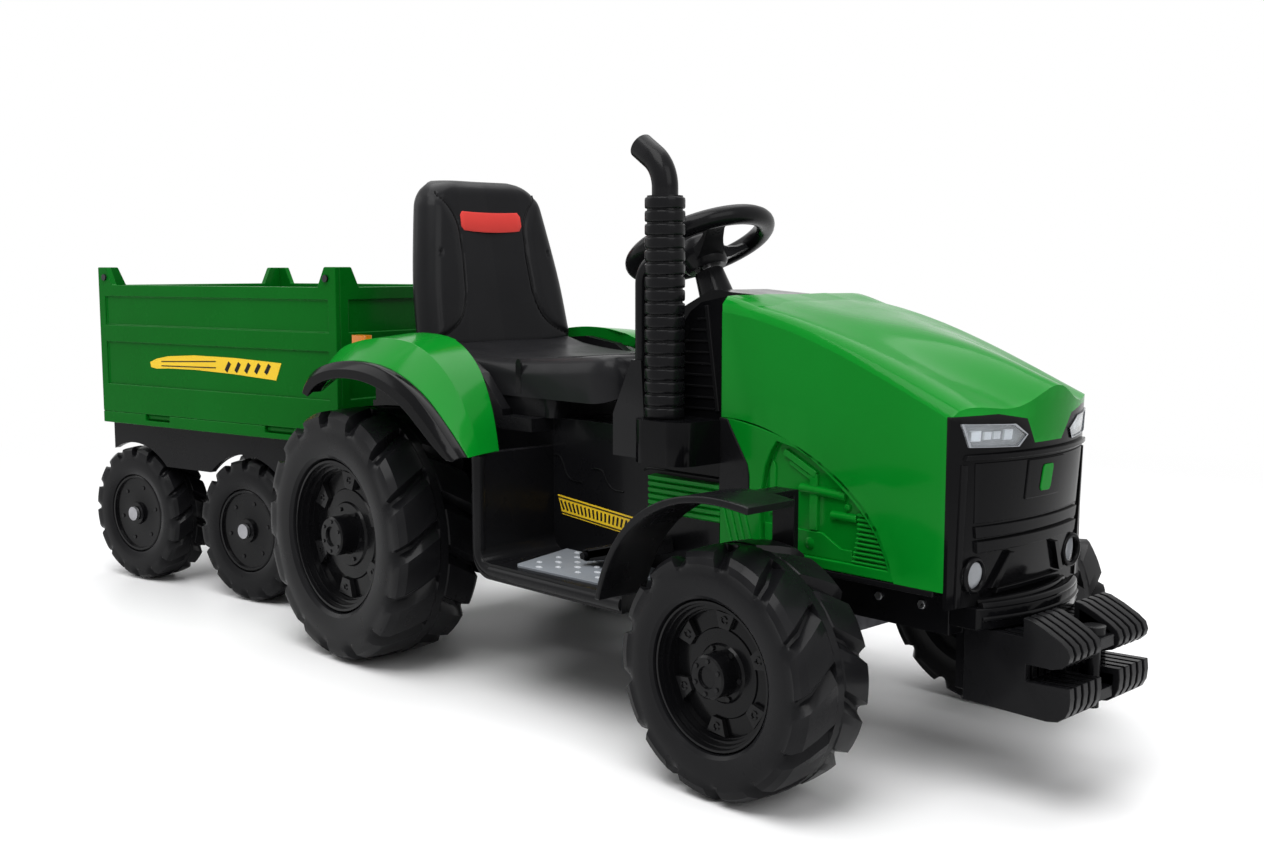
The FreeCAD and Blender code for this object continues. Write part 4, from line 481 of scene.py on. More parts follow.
def smooth_path(points, steps=8):
    """A curve through points."""
    points = [Vector(point) for point in points]
    path = []
    for i in range(len(points) - 1):
        first, second = points[i:i + 2]
        leave = (second - points[max(i - 1, 0)]) / 2
        arrive = (points[min(i + 2, len(points) - 1)] - first) / 2
        path += [eased(first, second, leave, arrive, k / steps) for k in range(steps)]
    return path + [points[-1]]


def along_line(pairs, value):
    """Straight-line reading of a table of (place, size) pairs."""
    if value <= pairs[0][0]:
        return pairs[0][1]
    for (low, first), (high, second) in zip(pairs, pairs[1:]):
        if value <= high:
            return first + (second - first) * (value - low) / (high - low)
    return pairs[-1][1]


def along_curve(pairs, value):
    """Smooth reading of a table of (place, size) pairs."""
    if not pairs[0][0] < value < pairs[-1][0]:
        return along_line(pairs, value)
    i = max(k for k, (place, size) in enumerate(pairs) if place <= value)

    def slope(k):
        before = pairs[max(k - 1, 0)]
        after = pairs[min(k + 1, len(pairs) - 1)]
        return (after[1] - before[1]) / (after[0] - before[0])

    (low, first), (high, second) = pairs[i], pairs[i + 1]
    span = high - low
    return eased(first, second, span * slope(i), span * slope(i + 1), (value - low) / span)


def round_drop(distance, radius):
    """How far a rounded edge has fallen away, at a distance in from it."""
    if distance >= radius:
        return 0
    rest = radius - max(distance, 0)
    return radius - sqrt(max(radius * radius - rest * rest, 0))


# Wheels: the outer face looks to -Y, and left wheels are turned about Z
Wheel = namedtuple("Wheel", "x y radius half bore lug count slant hub collar")
TRACTOR_WHEELS = {
    "rear": Wheel(0, 210.5, 162, 64, 98, 9, 15, 0.5, 25, 40),
    "front": Wheel(655, 221.5, 120.6, 51.5, 72.6, 8, 13, 0.5, 21, 27),
}
TRAILER_WHEELS = {
    "front": Wheel(-117, 142, 108, 35, 62, 6, 16, 0.45, 0, 0),
    "rear": Wheel(-385, 142, 108, 35, 62, 6, 16, 0.45, 0, 0),
}
AXIS = 0.01
# Tyre sections, as shares of the wall and of the half width, and how high a lug is along its pitch
GROUND_SHARES = ((0, 0.8), (0.03, 0.9), (0.1, 0.955), (0.3, 0.985), (0.52, 0.985), (0.63, 0.965))
LUG_SHARES = ((0.72, 0.985), (0.86, 0.95), (0.96, 0.82), (0.99, 0.5), (1, 0.12))
LUG_SLANTS = (0,) * 7 + (0.12, 0.3, 0.62, 1)
LUG_LINE = ((0, 0), (0.05, 1), (0.7, 0.96), (0.86, 0.3), (0.93, 0), (1, 0))
LUG_FRACTIONS = (0, 0.05, 0.2, 0.36, 0.43, 0.5, 0.55, 0.7, 0.86, 0.93)
BAND_HALF = 0.1
BAND_TOP = 0.985
BAND_EDGES = (0.09, 0.07)
BAND_RIB = 0.012
TYRE_CREASE = 28


def tyre_shape(wheel):
    """A moulded tyre: plain walls, staggered lugs over both shoulders, and a ribbed band between."""
    wall = wheel.radius - wheel.bore
    floor = 1 - wheel.lug / wall
    ground = GROUND_SHARES + (
        (0.7, 0.91), (floor - 0.1, 0.8), (floor - 0.02, 0.62), (floor, 0.4), (floor, BAND_HALF))
    tops = GROUND_SHARES + LUG_SHARES
    pitch = tau / wheel.count
    lean = wheel.slant * pitch
    rings = []
    for line in range(wheel.count * len(LUG_FRACTIONS) + 1):
        lug_number, step = divmod(line, len(LUG_FRACTIONS))
        angle = (lug_number + LUG_FRACTIONS[step]) * pitch
        ring = []
        for sign, stagger in ((-1, 0), (1, 0.5)):
            height = along_line(LUG_LINE, (LUG_FRACTIONS[step] + stagger) % 1)
            row = []
            for (low_r, low_y), (top_r, top_y), slant in zip(ground, tops, LUG_SLANTS):
                row.append((low_r + (top_r - low_r) * height, low_y + (top_y - low_y) * height,
                            angle + slant * lean))
            row += [(BAND_TOP - BAND_RIB * (line % 2), edge, angle + lean) for edge in BAND_EDGES]
            ring += [(r, y * sign, a) for r, y, a in row][::-1 if sign > 0 else 1]
        ring = [(wheel.bore + wall * r, wheel.half * y, a) for r, y, a in ring]
        rings.append([(r * cos(a), y, r * sin(a)) for r, y, a in ring])
    return lofted(rings, caps=False)


# Wheel discs, as shares of the bore and of the half width
RIM_STEPS = ((0.985, 0.86), (0.955, 0.86), (0.945, 0.78), (0.915, 0.78), (0.9, 0.68), (0.865, 0.68),
             (0.855, 0.58), (0.84, 0.58), (0.825, 0.47), (0.6, 0.49), (0.585, 0.52))
CAP_STEPS = ((0.97, 0.9), (0.92, 0.9), (0.9, 0.78), (0.6, 0.74), (0.3, 0.78), (0.28, 0.92),
             (0.12, 0.92), (0.12, -0.75))
RIM_BACK = -0.75
RIM_GAP = 0.2
HUB_REACH = 0.95
HUB_FOOT = 0.57
PAD_FOOT = 0.3
PAD_TOP = 0.58
PAD_CORNERS = ((0.61, -8), (0.61, 8), (0.835, 11), (0.835, -11))
PAD_TURNS = [60 * k + 25 for k in range(6)]
PAD_MARK = ((4.2, 0), (4.2, -1.2), (2.6, -1.2), (2.6, 0))
CAP_TURNS = [60 * k + 12 for k in range(6)]


def rim_spot(wheel, radius, degrees, share):
    angle = radians(degrees)
    return Vector((radius * cos(angle), -wheel.half * share, radius * sin(angle)))


def rim_turned(wheel, edge, steps, count):
    """A turned disc: its seat in the tyre, then (radius, share of the half width) steps."""
    seat = wheel.bore - RIM_GAP
    line = [(seat, RIM_BACK), (seat, edge)] + steps
    return revolved([(radius, -wheel.half * share) for radius, share in line], count)


def rim_shape(wheel):
    """A wheel disc: stepped rings, six marked pads, and a hub drum with bolt heads."""
    bore, hub, collar = wheel.bore, wheel.hub, wheel.collar
    steps = [(bore * share, depth) for share, depth in RIM_STEPS]
    steps += [
        (collar + 2, 0.53), (collar, HUB_FOOT), (hub + 1, HUB_FOOT), (hub, 0.61), (hub, HUB_REACH - 0.03),
        (hub - 2, HUB_REACH), (hub * 0.52, HUB_REACH), (hub * 0.48, HUB_REACH - 0.05),
        (AXIS, HUB_REACH - 0.05), (AXIS, 0.2), (bore * 0.8, 0.2), (bore * 0.8, RIM_BACK)]
    shape = rim_turned(wheel, 0.8, steps, 72)
    for turn in PAD_TURNS:
        pad = [rim_spot(wheel, bore * share, turn + lean, PAD_FOOT) for share, lean in PAD_CORNERS]
        prism(shape, pad, (0, wheel.half * (PAD_FOOT - PAD_TOP), 0))
        eye = rim_spot(wheel, bore * 0.72, turn, PAD_TOP)
        for step in range(14):
            ends = [tau * k / 16 + 0.4 for k in (step, step + 1)]
            loft(shape, [[eye + Vector((r * cos(a), y, r * sin(a))) for r, y in PAD_MARK] for a in ends])
        bolt = rim_spot(wheel, hub * 0.76, turn, HUB_REACH)
        prism(shape, disc(bolt, 2.4, 6), (0, -1.4, 0))
        nut = rim_spot(wheel, (collar + hub) / 2 + 1, turn + 30, HUB_FOOT)
        prism(shape, disc(nut, 2.8, 6), (0, -2, 0))
    return shape


def cap_shape(wheel):
    """The trailer wheel's dished cap with six marks."""
    shape = rim_turned(wheel, 0.86, [(wheel.bore * share, depth) for share, depth in CAP_STEPS], 64)
    for turn in CAP_TURNS:
        prism(shape, disc(rim_spot(wheel, wheel.bore * 0.7, turn, 0.745), 3.2, 10), (0, -1.6, 0))
    return shape


def wheel_place(base, wheel, sign):
    turn = Matrix.Rotation(pi if sign > 0 else 0, 4, "Z")
    return base @ Matrix.Translation((wheel.x, wheel.y * sign, wheel.radius)) @ turn


def wheels():
    for side, sign in SIDES:
        for row, wheel in TRACTOR_WHEELS.items():
            place = wheel_place(TRACTOR_MM, wheel, sign)
            name = row + "_" + side
            body = "wheel_" + name
            tyre = piece("tyre_" + name, tyre_shape(wheel), place, body, TYRE, TYRE_CREASE)
            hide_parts(row + "_tyre_" + side)
            rim = piece("disc_" + name, rim_shape(wheel), place, body, RIM)
            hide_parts(row + "_rim_" + side)
        for row, wheel in TRAILER_WHEELS.items():
            place = wheel_place(TRAILER_MM, wheel, sign)
            name = "trailer_" + row + "_" + side
            tyre = piece("tyre_" + name, tyre_shape(wheel), place, name, TYRE, TYRE_CREASE)
            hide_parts("trailer_wheel_" + row + "_" + side)
            piece("cap_" + name, cap_shape(wheel), place, name, RIM)


wheels()

# Seat: lines of (height, size) for the back, and of (x, height) for the cushion
BACK_LOW = 385
BACK_TOP = 621
BACK_LINE = ((405, 20), (621, -23))
BACK_HALF = ((405, 126), (480, 120), (560, 107), (621, 95))
BACK_DEPTH = 42
BACK_CORNER = 38
BACK_EDGE = 26
BACK_SEAM = ((405, 0.98), (412, 0.82), (428, 0.62), (452, 0.51), (490, 0.475), (550, 0.51),
             (569, 0.57), (585, 0.68), (600, 0.86), (610, 1.1))
TOP_ROUND = 0.9
SEAM_DEPTH = 2.2
SEAM_HALF = 1.7
BOLSTER_RISE = 3
BOLSTER_RUN = 14
PANEL_DISH = 4
BELT_SHARE = 0.82
BELT_MIDDLE = 509
BELT_HALF = (1.2, 17)
BELT_DEPTH = 3
CUSHION_TOP = ((-22, 408), (20, 402), (60, 394), (150, 388), (270, 395), (330, 400),
               (352, 400), (374, 392))
CUSHION_REAR = -21.5
CUSHION_REACH = 395
CUSHION_FRONT = 374
CUSHION_HALF = 126
CUSHION_LOW = 345
CUSHION_ROUND = 26
# The oval hollow under each thigh: its place along X and Y, and its half sizes
LOBE = (284, 66, 62, 40)
LOBE_DEPTH = 3.5
PLAQUE_HALF = 52
PLAQUE_HEIGHTS = (550, 563, 577)
SLOT_OUTLINE = ((196, 349), (206, 349), (206, 386), (203, 391), (199, 391), (196, 386))
SLOT_FACE = 126.4


def back_half(z):
    return along_curve(BACK_HALF, z) - round_drop(BACK_TOP - z, BACK_CORNER)


def back_front(y, z):
    """The front of the seat back: bolsters beside a shallow panel, with a seam between."""
    half = along_curve(BACK_HALF, z)
    share = abs(y) / half
    gap = (share - along_curve(BACK_SEAM, z)) * half
    x = along_line(BACK_LINE, z) - SEAM_DEPTH * exp(-(gap / SEAM_HALF) ** 2)
    if gap > 0:
        x += BOLSTER_RISE * min(gap / BOLSTER_RUN, 1)
    x -= PANEL_DISH * max(0, 1 - share / 0.5) ** 0.8
    if abs(share - BELT_SHARE) * half < BELT_HALF[0] and abs(z - BELT_MIDDLE) < BELT_HALF[1]:
        x -= BELT_DEPTH
    return x - round_drop(BACK_TOP - z, 20) * TOP_ROUND


def seat_back_shape():
    columns = 84
    rows = 84
    rings = []
    for r in range(rows + 1):
        z = BACK_LOW + (BACK_TOP - 0.6 - BACK_LOW) * r / rows
        half = back_half(z)
        rear = along_line(BACK_LINE, z) - BACK_DEPTH + round_drop(BACK_TOP - z, 16) * TOP_ROUND
        front = []
        back = []
        for y in spread(half, columns):
            edge = half - abs(y)
            x = back_front(y, z) - round_drop(edge, BACK_EDGE)
            front.append((x, y, z))
            back.append((min(rear + round_drop(edge, 12), x - 1), y, z))
        rings.append(front + back[::-1])
    return lofted(rings)


def cushion_top(x, y):
    """The cushion's top: dished, with two oval hollows at the front."""
    side = max(0, abs(y) / CUSHION_HALF - 0.55) / 0.45
    z = along_curve(CUSHION_TOP, x) + 7 * side * side * max(0, 1 - x / 300)
    out = hypot((x - LOBE[0]) / LOBE[2], (abs(y) - LOBE[1]) / LOBE[3])
    return z - LOBE_DEPTH * max(0, 1 - out * out)


def cushion_shape():
    columns = 64
    rows = 96
    rings = []
    for r in range(rows + 1):
        x = CUSHION_REAR + CUSHION_REACH * r / rows
        room = CUSHION_FRONT - x
        half = CUSHION_HALF - round_drop(room, 46) * 0.8
        drop = round_drop(room, CUSHION_ROUND)
        low = CUSHION_LOW + round_drop(room, 44) * 0.45
        ring = [(x, -half, low)]
        for y in spread(half, columns):
            z = cushion_top(x, y) - round_drop(half - abs(y), 22) - drop
            ring.append((x, y, max(z, low + 2)))
        rings.append(ring + [(x, half, low)])
    return lofted(rings)


def plaque_shape():
    """A bare red plate that follows the seat back."""
    foot, centre, head = PLAQUE_HEIGHTS
    front = back_front(0, centre) + 3
    rings = []
    for share in spread(1, 24):
        bow = 3 * share * share
        end = round_drop((1 - abs(share)) * PLAQUE_HALF, 5)
        low = foot + bow + end
        high = head + bow * 0.6 - end
        section = ((-4, low), (0.6, low), (1.4, low + 2), (1.4, high - 2), (0.6, high), (-4, high))
        rings.append([(front + dx - 0.2 * (z - centre), PLAQUE_HALF * share, z) for dx, z in section])
    return lofted(rings)


def seat_seams():
    """Raised seams up the back's bolsters and round the cushion's hollows, darker than the seat as painted
    shade of the seam grooves.
    """
    shape = bmesh.new()
    for sign in SIGNS:
        path = []
        for k in range(41):
            z = 408 + 196 * k / 40
            y = min(along_curve(BACK_SEAM, z) * along_curve(BACK_HALF, z), back_half(z) - 8)
            path.append((back_front(y, z) - round_drop(back_half(z) - y, BACK_EDGE) + 1.1, y * sign, z))
        tube(shape, path, 1.2, 8)
        path = []
        for turn in turns(48) + [tau]:
            x = LOBE[0] + LOBE[2] * cos(turn)
            y = LOBE[1] + LOBE[3] * sin(turn)
            z = cushion_top(x, y) - round_drop(CUSHION_FRONT - x, CUSHION_ROUND) - 0.3
            path.append((x, y * sign, z))
        tube(shape, path, 1.1, 8)
    return shape


def seat():
    back = fixed("seat_black", SEAT, "seat_back_shell", seat_back_shape(), 50)
    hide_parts("seat")
    cushion = fixed("seat_black", SEAT, "seat_cushion_shell", cushion_shape(), 50)
    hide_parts("seat")
    # Painted shade: the seams take a darker black than the seat, for the shade in their grooves.
    fixed("seat_black", GLOSS_BLACK, "seat_seams", seat_seams(), 60)
    fixed("body_black", RED, "seat_plaque", plaque_shape(), 40)
    slots = bmesh.new()
    for sign in SIGNS:
        prism(slots, [(x, SLOT_FACE * sign, z) for x, z in SLOT_OUTLINE], (0, -2 * sign, 0))
    gloss("seat_side_slots", slots)


seat()

# Steering wheel, in its own frame: the origin at the middle of the ring, Z along the column
WHEEL_CENTRE = (386, 0, 528)
COLUMN_LEAN = radians(25)
STEERING = TRACTOR_MM @ Matrix.Translation(WHEEL_CENTRE) @ Matrix.Rotation(-COLUMN_LEAN, 4, "Y")
RING = 80
GRIP = 11.5
SPOKE_TURNS = (90, 210, 330)
# Sections of a spoke: reach from the middle, half width, low and high
SPOKE = ((16, 17, -24, -4), (30, 15, -21, -6), (50, 12, -14, -4),
         (66, 11, -9, 0), (76, 12, -8, 4))
SPOKE_EDGE = 3
HUB = ((AXIS, -31.5), (22, -31.5), (25, -28), (27, -8), (26, 0), (23, 5), (18.5, 7),
       (17, 6.5), (17, 1), (AXIS, 1))


def steering_wheel():
    rings = []
    for angle in turns(72) + [tau]:
        across = Vector((cos(angle), sin(angle), 0))
        rings.append([across * (RING + GRIP * cos(a)) + Vector((0, 0, GRIP * sin(a))) for a in turns(18)])
    shape = lofted(rings, caps=False)
    for degrees in SPOKE_TURNS:
        angle = radians(degrees)
        along = Vector((cos(angle), sin(angle), 0))
        over = Vector((-sin(angle), cos(angle), 0))
        sections = []
        for reach, wide, low, high in SPOKE:
            flat = wide - SPOKE_EDGE
            edge = high - SPOKE_EDGE
            section = ((-wide, low), (wide, low), (wide, edge), (flat, high), (-flat, high), (-wide, edge))
            sections.append([along * reach + over * w + Vector((0, 0, h)) for w, h in section])
        loft(shape, sections)
    drum = revolved(HUB, 48)
    drum.transform(Matrix.Rotation(pi / 2, 4, "X"))
    whole = join([shape, drum])
    wheel = piece("steering_wheel_moulding", whole, STEERING, "steering", BLACK, 38)
    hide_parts("steering_wheel")


steering_wheel()

# Nose: everything here follows the curved, leaning front
NOSE_SIDE_X = 815
NOSE_HALF = 120
NOSE_LOW = (187, 825)
NOSE_HIGH = (500, 868)
NOSE_LEAN = (NOSE_HIGH[1] - NOSE_LOW[1]) / (NOSE_HIGH[0] - NOSE_LOW[0])
NOSE_STEP = 6
HEADLIGHT = ((112, 360), (56, 358), (38, 347), (48, 336), (104, 338))
SQUARE = ((-1, -1), (1, -1), (1, 1), (-1, 1))
# Lamps of a headlight: y, z and half size
LED_BLOCKS = ((95, 348, 5), (83, 348, 3.8), (73, 348, 3.8), (60, 348, 5))
# Panels across the grille: half width and height of the foot, then of the head, and how far it stands out
GRILLE_PANELS = ((108, 326, 106, 331, 4), (92, 266, 96, 323, 1.4),
                 (90, 252, 92, 263, 2.6), (88, 238, 90, 249, 3.8),
                 (30, 284, 32, 322, 3), (58, 196, 56, 201, 5))
GRILLE_BARS = ((((66, 202), (56, 202), (36, 234), (44, 234)), 5),
               (((110, 188), (104, 188), (104, 322), (110, 322)), 2.2))
GRILLE_ROOT = -1
BADGE = ((-9, 293), (-7, 290), (7, 290), (9, 293), (9, 313), (7, 316), (-7, 316),
         (-9, 313))
FOG_PLACE = (88, 217)
FOG_RING = 15
# The bonnet's raised rear edge, by the distance from the middle
CROWN_REAR = ((0, 470), (50, 470.5), (100, 468), (113, 465), (119.5, 456))
CROWN_FRONT = ((0, 460), (48, 460), (96, 457), (113, 454), (119.5, 445))
CROWN_RISE = ((0, 2.4), (60, 2.8), (100, 4.6), (113, 6.8), (119.5, 7.5))
CROWN_X = (533.3, 600)
CROWN_HALF = 119.8


def bowed(tip, rise, half, y):
    """A bow across Y, whose tip stands a rise in front of its ends."""
    radius = (half * half + rise * rise) / (2 * rise)
    return tip - radius + sqrt(max(radius * radius - y * y, 0))


def nose_x(y, z):
    tip = NOSE_LOW[1] + NOSE_LEAN * (z - NOSE_LOW[0])
    return bowed(tip, tip - NOSE_SIDE_X, NOSE_HALF, y)


def nose_plate(outline, low, high):
    """A plate over the nose inside a (y, z) outline, from one depth to another along X."""
    shape = bmesh.new()
    shape.faces.new([shape.verts.new((0, y, z)) for y, z in outline])
    ys = [y for y, z in outline]
    place = ceil(min(ys) / NOSE_STEP) * NOSE_STEP
    while place < max(ys):
        bmesh.ops.bisect_plane(shape, geom=shape.verts[:] + shape.edges[:] + shape.faces[:], dist=0.0001,
                               plane_co=(0, place, 0), plane_no=(0, 1, 0))
        place += NOSE_STEP
    made = bmesh.ops.extrude_face_region(shape, geom=shape.faces[:])
    fresh = {vertex for vertex in made["geom"] if isinstance(vertex, bmesh.types.BMVert)}
    for vertex in shape.verts:
        vertex.co.x = nose_x(vertex.co.y, vertex.co.z) + (high if vertex in fresh else low)
    return shape


def mirrored(outline, sign):
    return [(y * sign, z) for y, z in outline]


def ring_plate(outline, inset, low, high):
    """A frame over the nose: the band between an outline and the same drawn in."""
    centre_y = sum(y for y, z in outline) / len(outline)
    centre_z = sum(z for y, z in outline) / len(outline)
    inner = []
    for y, z in outline:
        way = Vector((centre_y - y, centre_z - z)).normalized()
        inner.append(tuple(Vector((y, z)) + way * inset))
    return join([nose_plate(corners, low, high) for corners in quads(outline, inner)])


def headlights():
    for side, sign in SIDES:
        outline = mirrored(HEADLIGHT, sign)
        lamp = fixed("lamp_clear", GREY, "headlight_reflector_" + side, nose_plate(outline, -4.9, -4))
        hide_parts("headlights")
        blocks = []
        for y, z, half in LED_BLOCKS:
            square = [(y + a * half, z + b * half) for a, b in SQUARE]
            blocks.append(nose_plate(mirrored(square, sign), -4.2, -1.8))
        fixed("lamp_clear", LAMP_WHITE, "headlight_lamps_" + side, join(blocks), bevel=0.6)
        fixed("lamp_clear", CLEAR, "headlight_lens_" + side, nose_plate(outline, -0.9, 0.4))
        fixed("lamp_clear", SILVER, "headlight_trim_" + side, ring_plate(outline, 2.2, -1, 1.8))


def grille():
    plates = []
    for foot, low, head, high, rise in GRILLE_PANELS:
        outline = ((-foot, low), (foot, low), (head, high), (-head, high))
        plates.append(nose_plate(outline, GRILLE_ROOT, rise))
    for outline, rise in GRILLE_BARS:
        for sign in SIGNS:
            plates.append(nose_plate(mirrored(outline, sign), GRILLE_ROOT, rise))
    gloss("grille_panels", join(plates), bevel=0.8)
    green("grille_badge", nose_plate(BADGE, 2, 4.4), bevel=0.8)
    shape = bmesh.new()
    y, z = FOG_PLACE
    for sign in SIGNS:
        centre = Vector((nose_x(y, z) + 2, y * sign, z))
        ring = [centre + Vector((0, FOG_RING * cos(a), FOG_RING * sin(a))) for a in turns(32) + [tau]]
        tube(shape, ring, 2.6, 10)
    gloss("fog_bezels", shape, 40)


def bonnet_crown():
    """The raised rear edge of the bonnet, which runs out forward into its top."""
    rings = []
    for k in range(13):
        share = k / 12
        fade = (1 - share) ** 2 * (1 + 2 * share)
        x = CROWN_X[0] + (CROWN_X[1] - CROWN_X[0]) * share
        top = []
        low = []
        for y in spread(CROWN_HALF, 60):
            rear = along_line(CROWN_REAR, abs(y))
            z = rear + (along_line(CROWN_FRONT, abs(y)) - rear) * share
            top.append((x, y, z + along_line(CROWN_RISE, abs(y)) * fade - 0.6 * share))
            low.append((x, y, z - 3))
        rings.append(top + low[::-1])
    green("bonnet_crown", lofted(rings), 50)


headlights()
grille()
bonnet_crown()

# Bonnet sides, engine niche and vents, as (x, z) on the side
SIDE_FACE = 120
SIDE_BACK = 108
SEAM = ((531, 345), (547, 344.8), (579, 339.8), (608, 333.4), (637, 324.9), (665, 312.4),
        (692, 295.9), (718, 275.6), (737, 252.7), (750, 227.4), (757, 203.5))
PANEL = SEAM + ((531, 203.5),)
NICHE = ((590, 214), (588, 246), (590, 278), (594, 298.6), (602.6, 317.3), (608.3, 325.6),
         (634, 320), (662, 307.8), (689, 291.3), (714, 271), (732, 249), (744, 226),
         (748, 214))
NICHE_FLOOR = SIDE_FACE - 7
NICHE_ROOT = NICHE_FLOOR - 1
SKIRT = ((531, 345), (542.5, 343.7), (548.8, 332.8), (561.2, 313.4), (570.4, 298.4), (572.9, 287.3),
         (573, 266), (566, 262), (531, 258))
# Engine relief: bars with width and rise, plates with rise, pipes and domes with radius
RELIEF_BARS = (((616, 316), (657, 296), 7, 3.5), ((622, 306), (650, 292), 5, 2))
RELIEF_PLATES = (
    (((649, 240), (659, 240), (659, 297), (649, 297)), 3),
    (((590, 214), (704, 214), (702, 226), (689, 226), (676, 233), (665, 239),
      (637, 239), (590, 240)), 2.4),
    (((596, 250), (604, 250), (604, 300), (600, 306), (596, 296)), 2))
RELIEF_PIPES = (((636, 281), (694, 278.5), 5), ((676, 258), (708, 258), 4.6))
RELIEF_DOMES = ((650, 226, 8), (696, 268, 4))
LOUVRE_START = ((213, 704), (242, 710), (266, 711))
LOUVRES = [216 + 4.7 * k for k in range(11)]
LOUVRE_SECTION = ((-1, -0.6), (4.8, -1.2), (5.6, 0.4), (1, 2.6), (-1, 2.6))
VENT_TOP = 272
VENT_PITCH = 7
VENT_COUNT = 6
VENT_X = (422, 531)
SKIRT_RIBS = [9.5 * k for k in range(2, 6)]


def holed_plate(outline, hole, face, floor, back):
    """A plate along XZ between two y values, with a pocket that stops at the floor."""
    shape = bmesh.new()
    loops = [[shape.verts.new((x, face, z)) for x, z in points] for points in (outline, hole)]
    edges = []
    for corners in loops:
        edges += [shape.edges.new(ends) for ends in closed(corners)]
    bmesh.ops.triangle_fill(shape, use_beauty=True, edges=edges, normal=(0, 1, 0))
    for corners, depth in zip(loops, (back, floor)):
        deep = [shape.verts.new((vertex.co.x, depth, vertex.co.z)) for vertex in corners]
        for face_corners in quads(corners, deep):
            shape.faces.new(face_corners)
        shape.faces.new(deep)
    return shape


def side_plate(outline, low, high, sign):
    """A plate along XZ from one distance out from the middle to another."""
    return pushed([(x, low * sign, z) for x, z in outline], (0, (high - low) * sign, 0))


def side_bar(first, second, width, low, high, sign):
    """A straight bar lying on a side, from one (x, z) to another."""
    first = Vector(first)
    second = Vector(second)
    way = (second - first).normalized()
    over = Vector((-way.y, way.x)) * width / 2
    return side_plate((first + over, second + over, second - over, first - over), low, high, sign)


def across_x(section, start, stop, sign):
    """A (y, z) section pushed along X."""
    return pushed([(start, y * sign, z) for y, z in section], (stop - start, 0, 0))


def engine_relief(sign):
    parts = []
    for first, second, width, rise in RELIEF_BARS:
        parts.append(side_bar(first, second, width, NICHE_ROOT, NICHE_FLOOR + rise, sign))
    for outline, rise in RELIEF_PLATES:
        parts.append(side_plate(outline, NICHE_ROOT, NICHE_FLOOR + rise, sign))
    pipes = bmesh.new()
    for first, second, radius in RELIEF_PIPES:
        ends = [(x, NICHE_FLOOR * sign, z) for x, z in (first, second)]
        tube(pipes, smooth_path(ends, 4), radius, 18)
    for x, z, radius in RELIEF_DOMES:
        dome = ((radius, -1), (radius, 1), (radius * 0.7, 3), (AXIS, 3.6))
        loft(pipes, [disc((x, (NICHE_FLOOR + rise) * sign, z), r, 20) for r, rise in dome])
    return join(parts + [pipes])


def engine_louvres(sign):
    ends = [(z, x) for x, z in reversed(SEAM)]
    slats = []
    for z in LOUVRES:
        section = [(NICHE_FLOOR + y, z + rise) for y, rise in LOUVRE_SECTION]
        slats.append(across_x(section, along_line(LOUVRE_START, z), along_line(ends, z) - 4.5, sign))
    return join(slats)


def side_vent(sign):
    section = [(SIDE_BACK, VENT_TOP)]
    for k in range(VENT_COUNT):
        top = VENT_TOP - VENT_PITCH * k
        section += [(SIDE_FACE, top - 0.8), (SIDE_FACE - 0.4, top - 4.6), (SIDE_FACE - 3.2, top - 6.6)]
    section.append((SIDE_BACK, VENT_TOP - VENT_PITCH * VENT_COUNT))
    return across_x(section, *VENT_X, sign)


def bonnet_sides():
    for side, sign in SIDES:
        panel = holed_plate(PANEL, NICHE, SIDE_FACE * sign, NICHE_FLOOR * sign, SIDE_BACK * sign)
        made = green("engine_panel_" + side, panel, bevel=1.6)
        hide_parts("engine_panels")
        green("engine_relief_" + side, engine_relief(sign), 35, 0.9)
        green("engine_louvres_" + side, engine_louvres(sign))
        skirt = side_plate(SKIRT, 112, SIDE_FACE + 1.6, sign)
        satin("cowl_skirt_" + side, skirt, bevel=1.2)
        made = green("side_vent_" + side, side_vent(sign), 25)
        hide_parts("engine_panels")
        ribs = [side_bar((517 + x, 252), (530 + x, 212), 3.4, SIDE_FACE - 1, SIDE_FACE + 1.4, sign)
                for x in SKIRT_RIBS]
        green("skirt_ribs_" + side, join(ribs), bevel=0.6)


bonnet_sides()

# Rear mudguards: share of the width, then the band's top and under side, at its inner edge, crease and rim
GUARD_BANDS = (
    (0, ((-98, 360), (-82, 396), (-34, 412), (36, 418), (104, 410), (160, 382), (206, 336), (240, 287)),
     ((-82, 360), (-68, 384), (-30, 397), (36, 402), (98, 394), (150, 368), (192, 326), (222, 287))),
    (0.58, ((-98, 356), (-84, 389), (-36, 406), (36, 413), (108, 405), (168, 377), (218, 333), (252, 287)),
     ((-82, 356), (-70, 374), (-32, 388), (36, 394), (102, 386), (158, 360), (204, 320), (234, 287))),
    (1, ((-68, 348), (-56, 364), (-22, 379), (40, 387), (112, 380), (178, 354), (228, 318), (264, 287)),
     ((-50, 342), (-40, 352), (-14, 363), (40, 370), (106, 363), (168, 338), (214, 306), (246, 287))))
GUARD_STATIONS = (0, 0.03, 0.2, 0.4, 0.55, 0.58, 0.61, 0.8, 0.97, 1)
GUARD_INNER = 143
GUARD_OUTER = 250
GUARD_TRIM = ((284, 188), (400, 150), (418, 143))
GUARD_TRIM_X = 100


def guard_point(x, z, share, sign):
    """A place on the mudguard, whose inner edge draws in towards its foot."""
    inner = GUARD_INNER
    if x > GUARD_TRIM_X:
        inner = max(inner, along_line(GUARD_TRIM, z))
    return (x, (inner + (GUARD_OUTER - inner) * share) * sign, z)


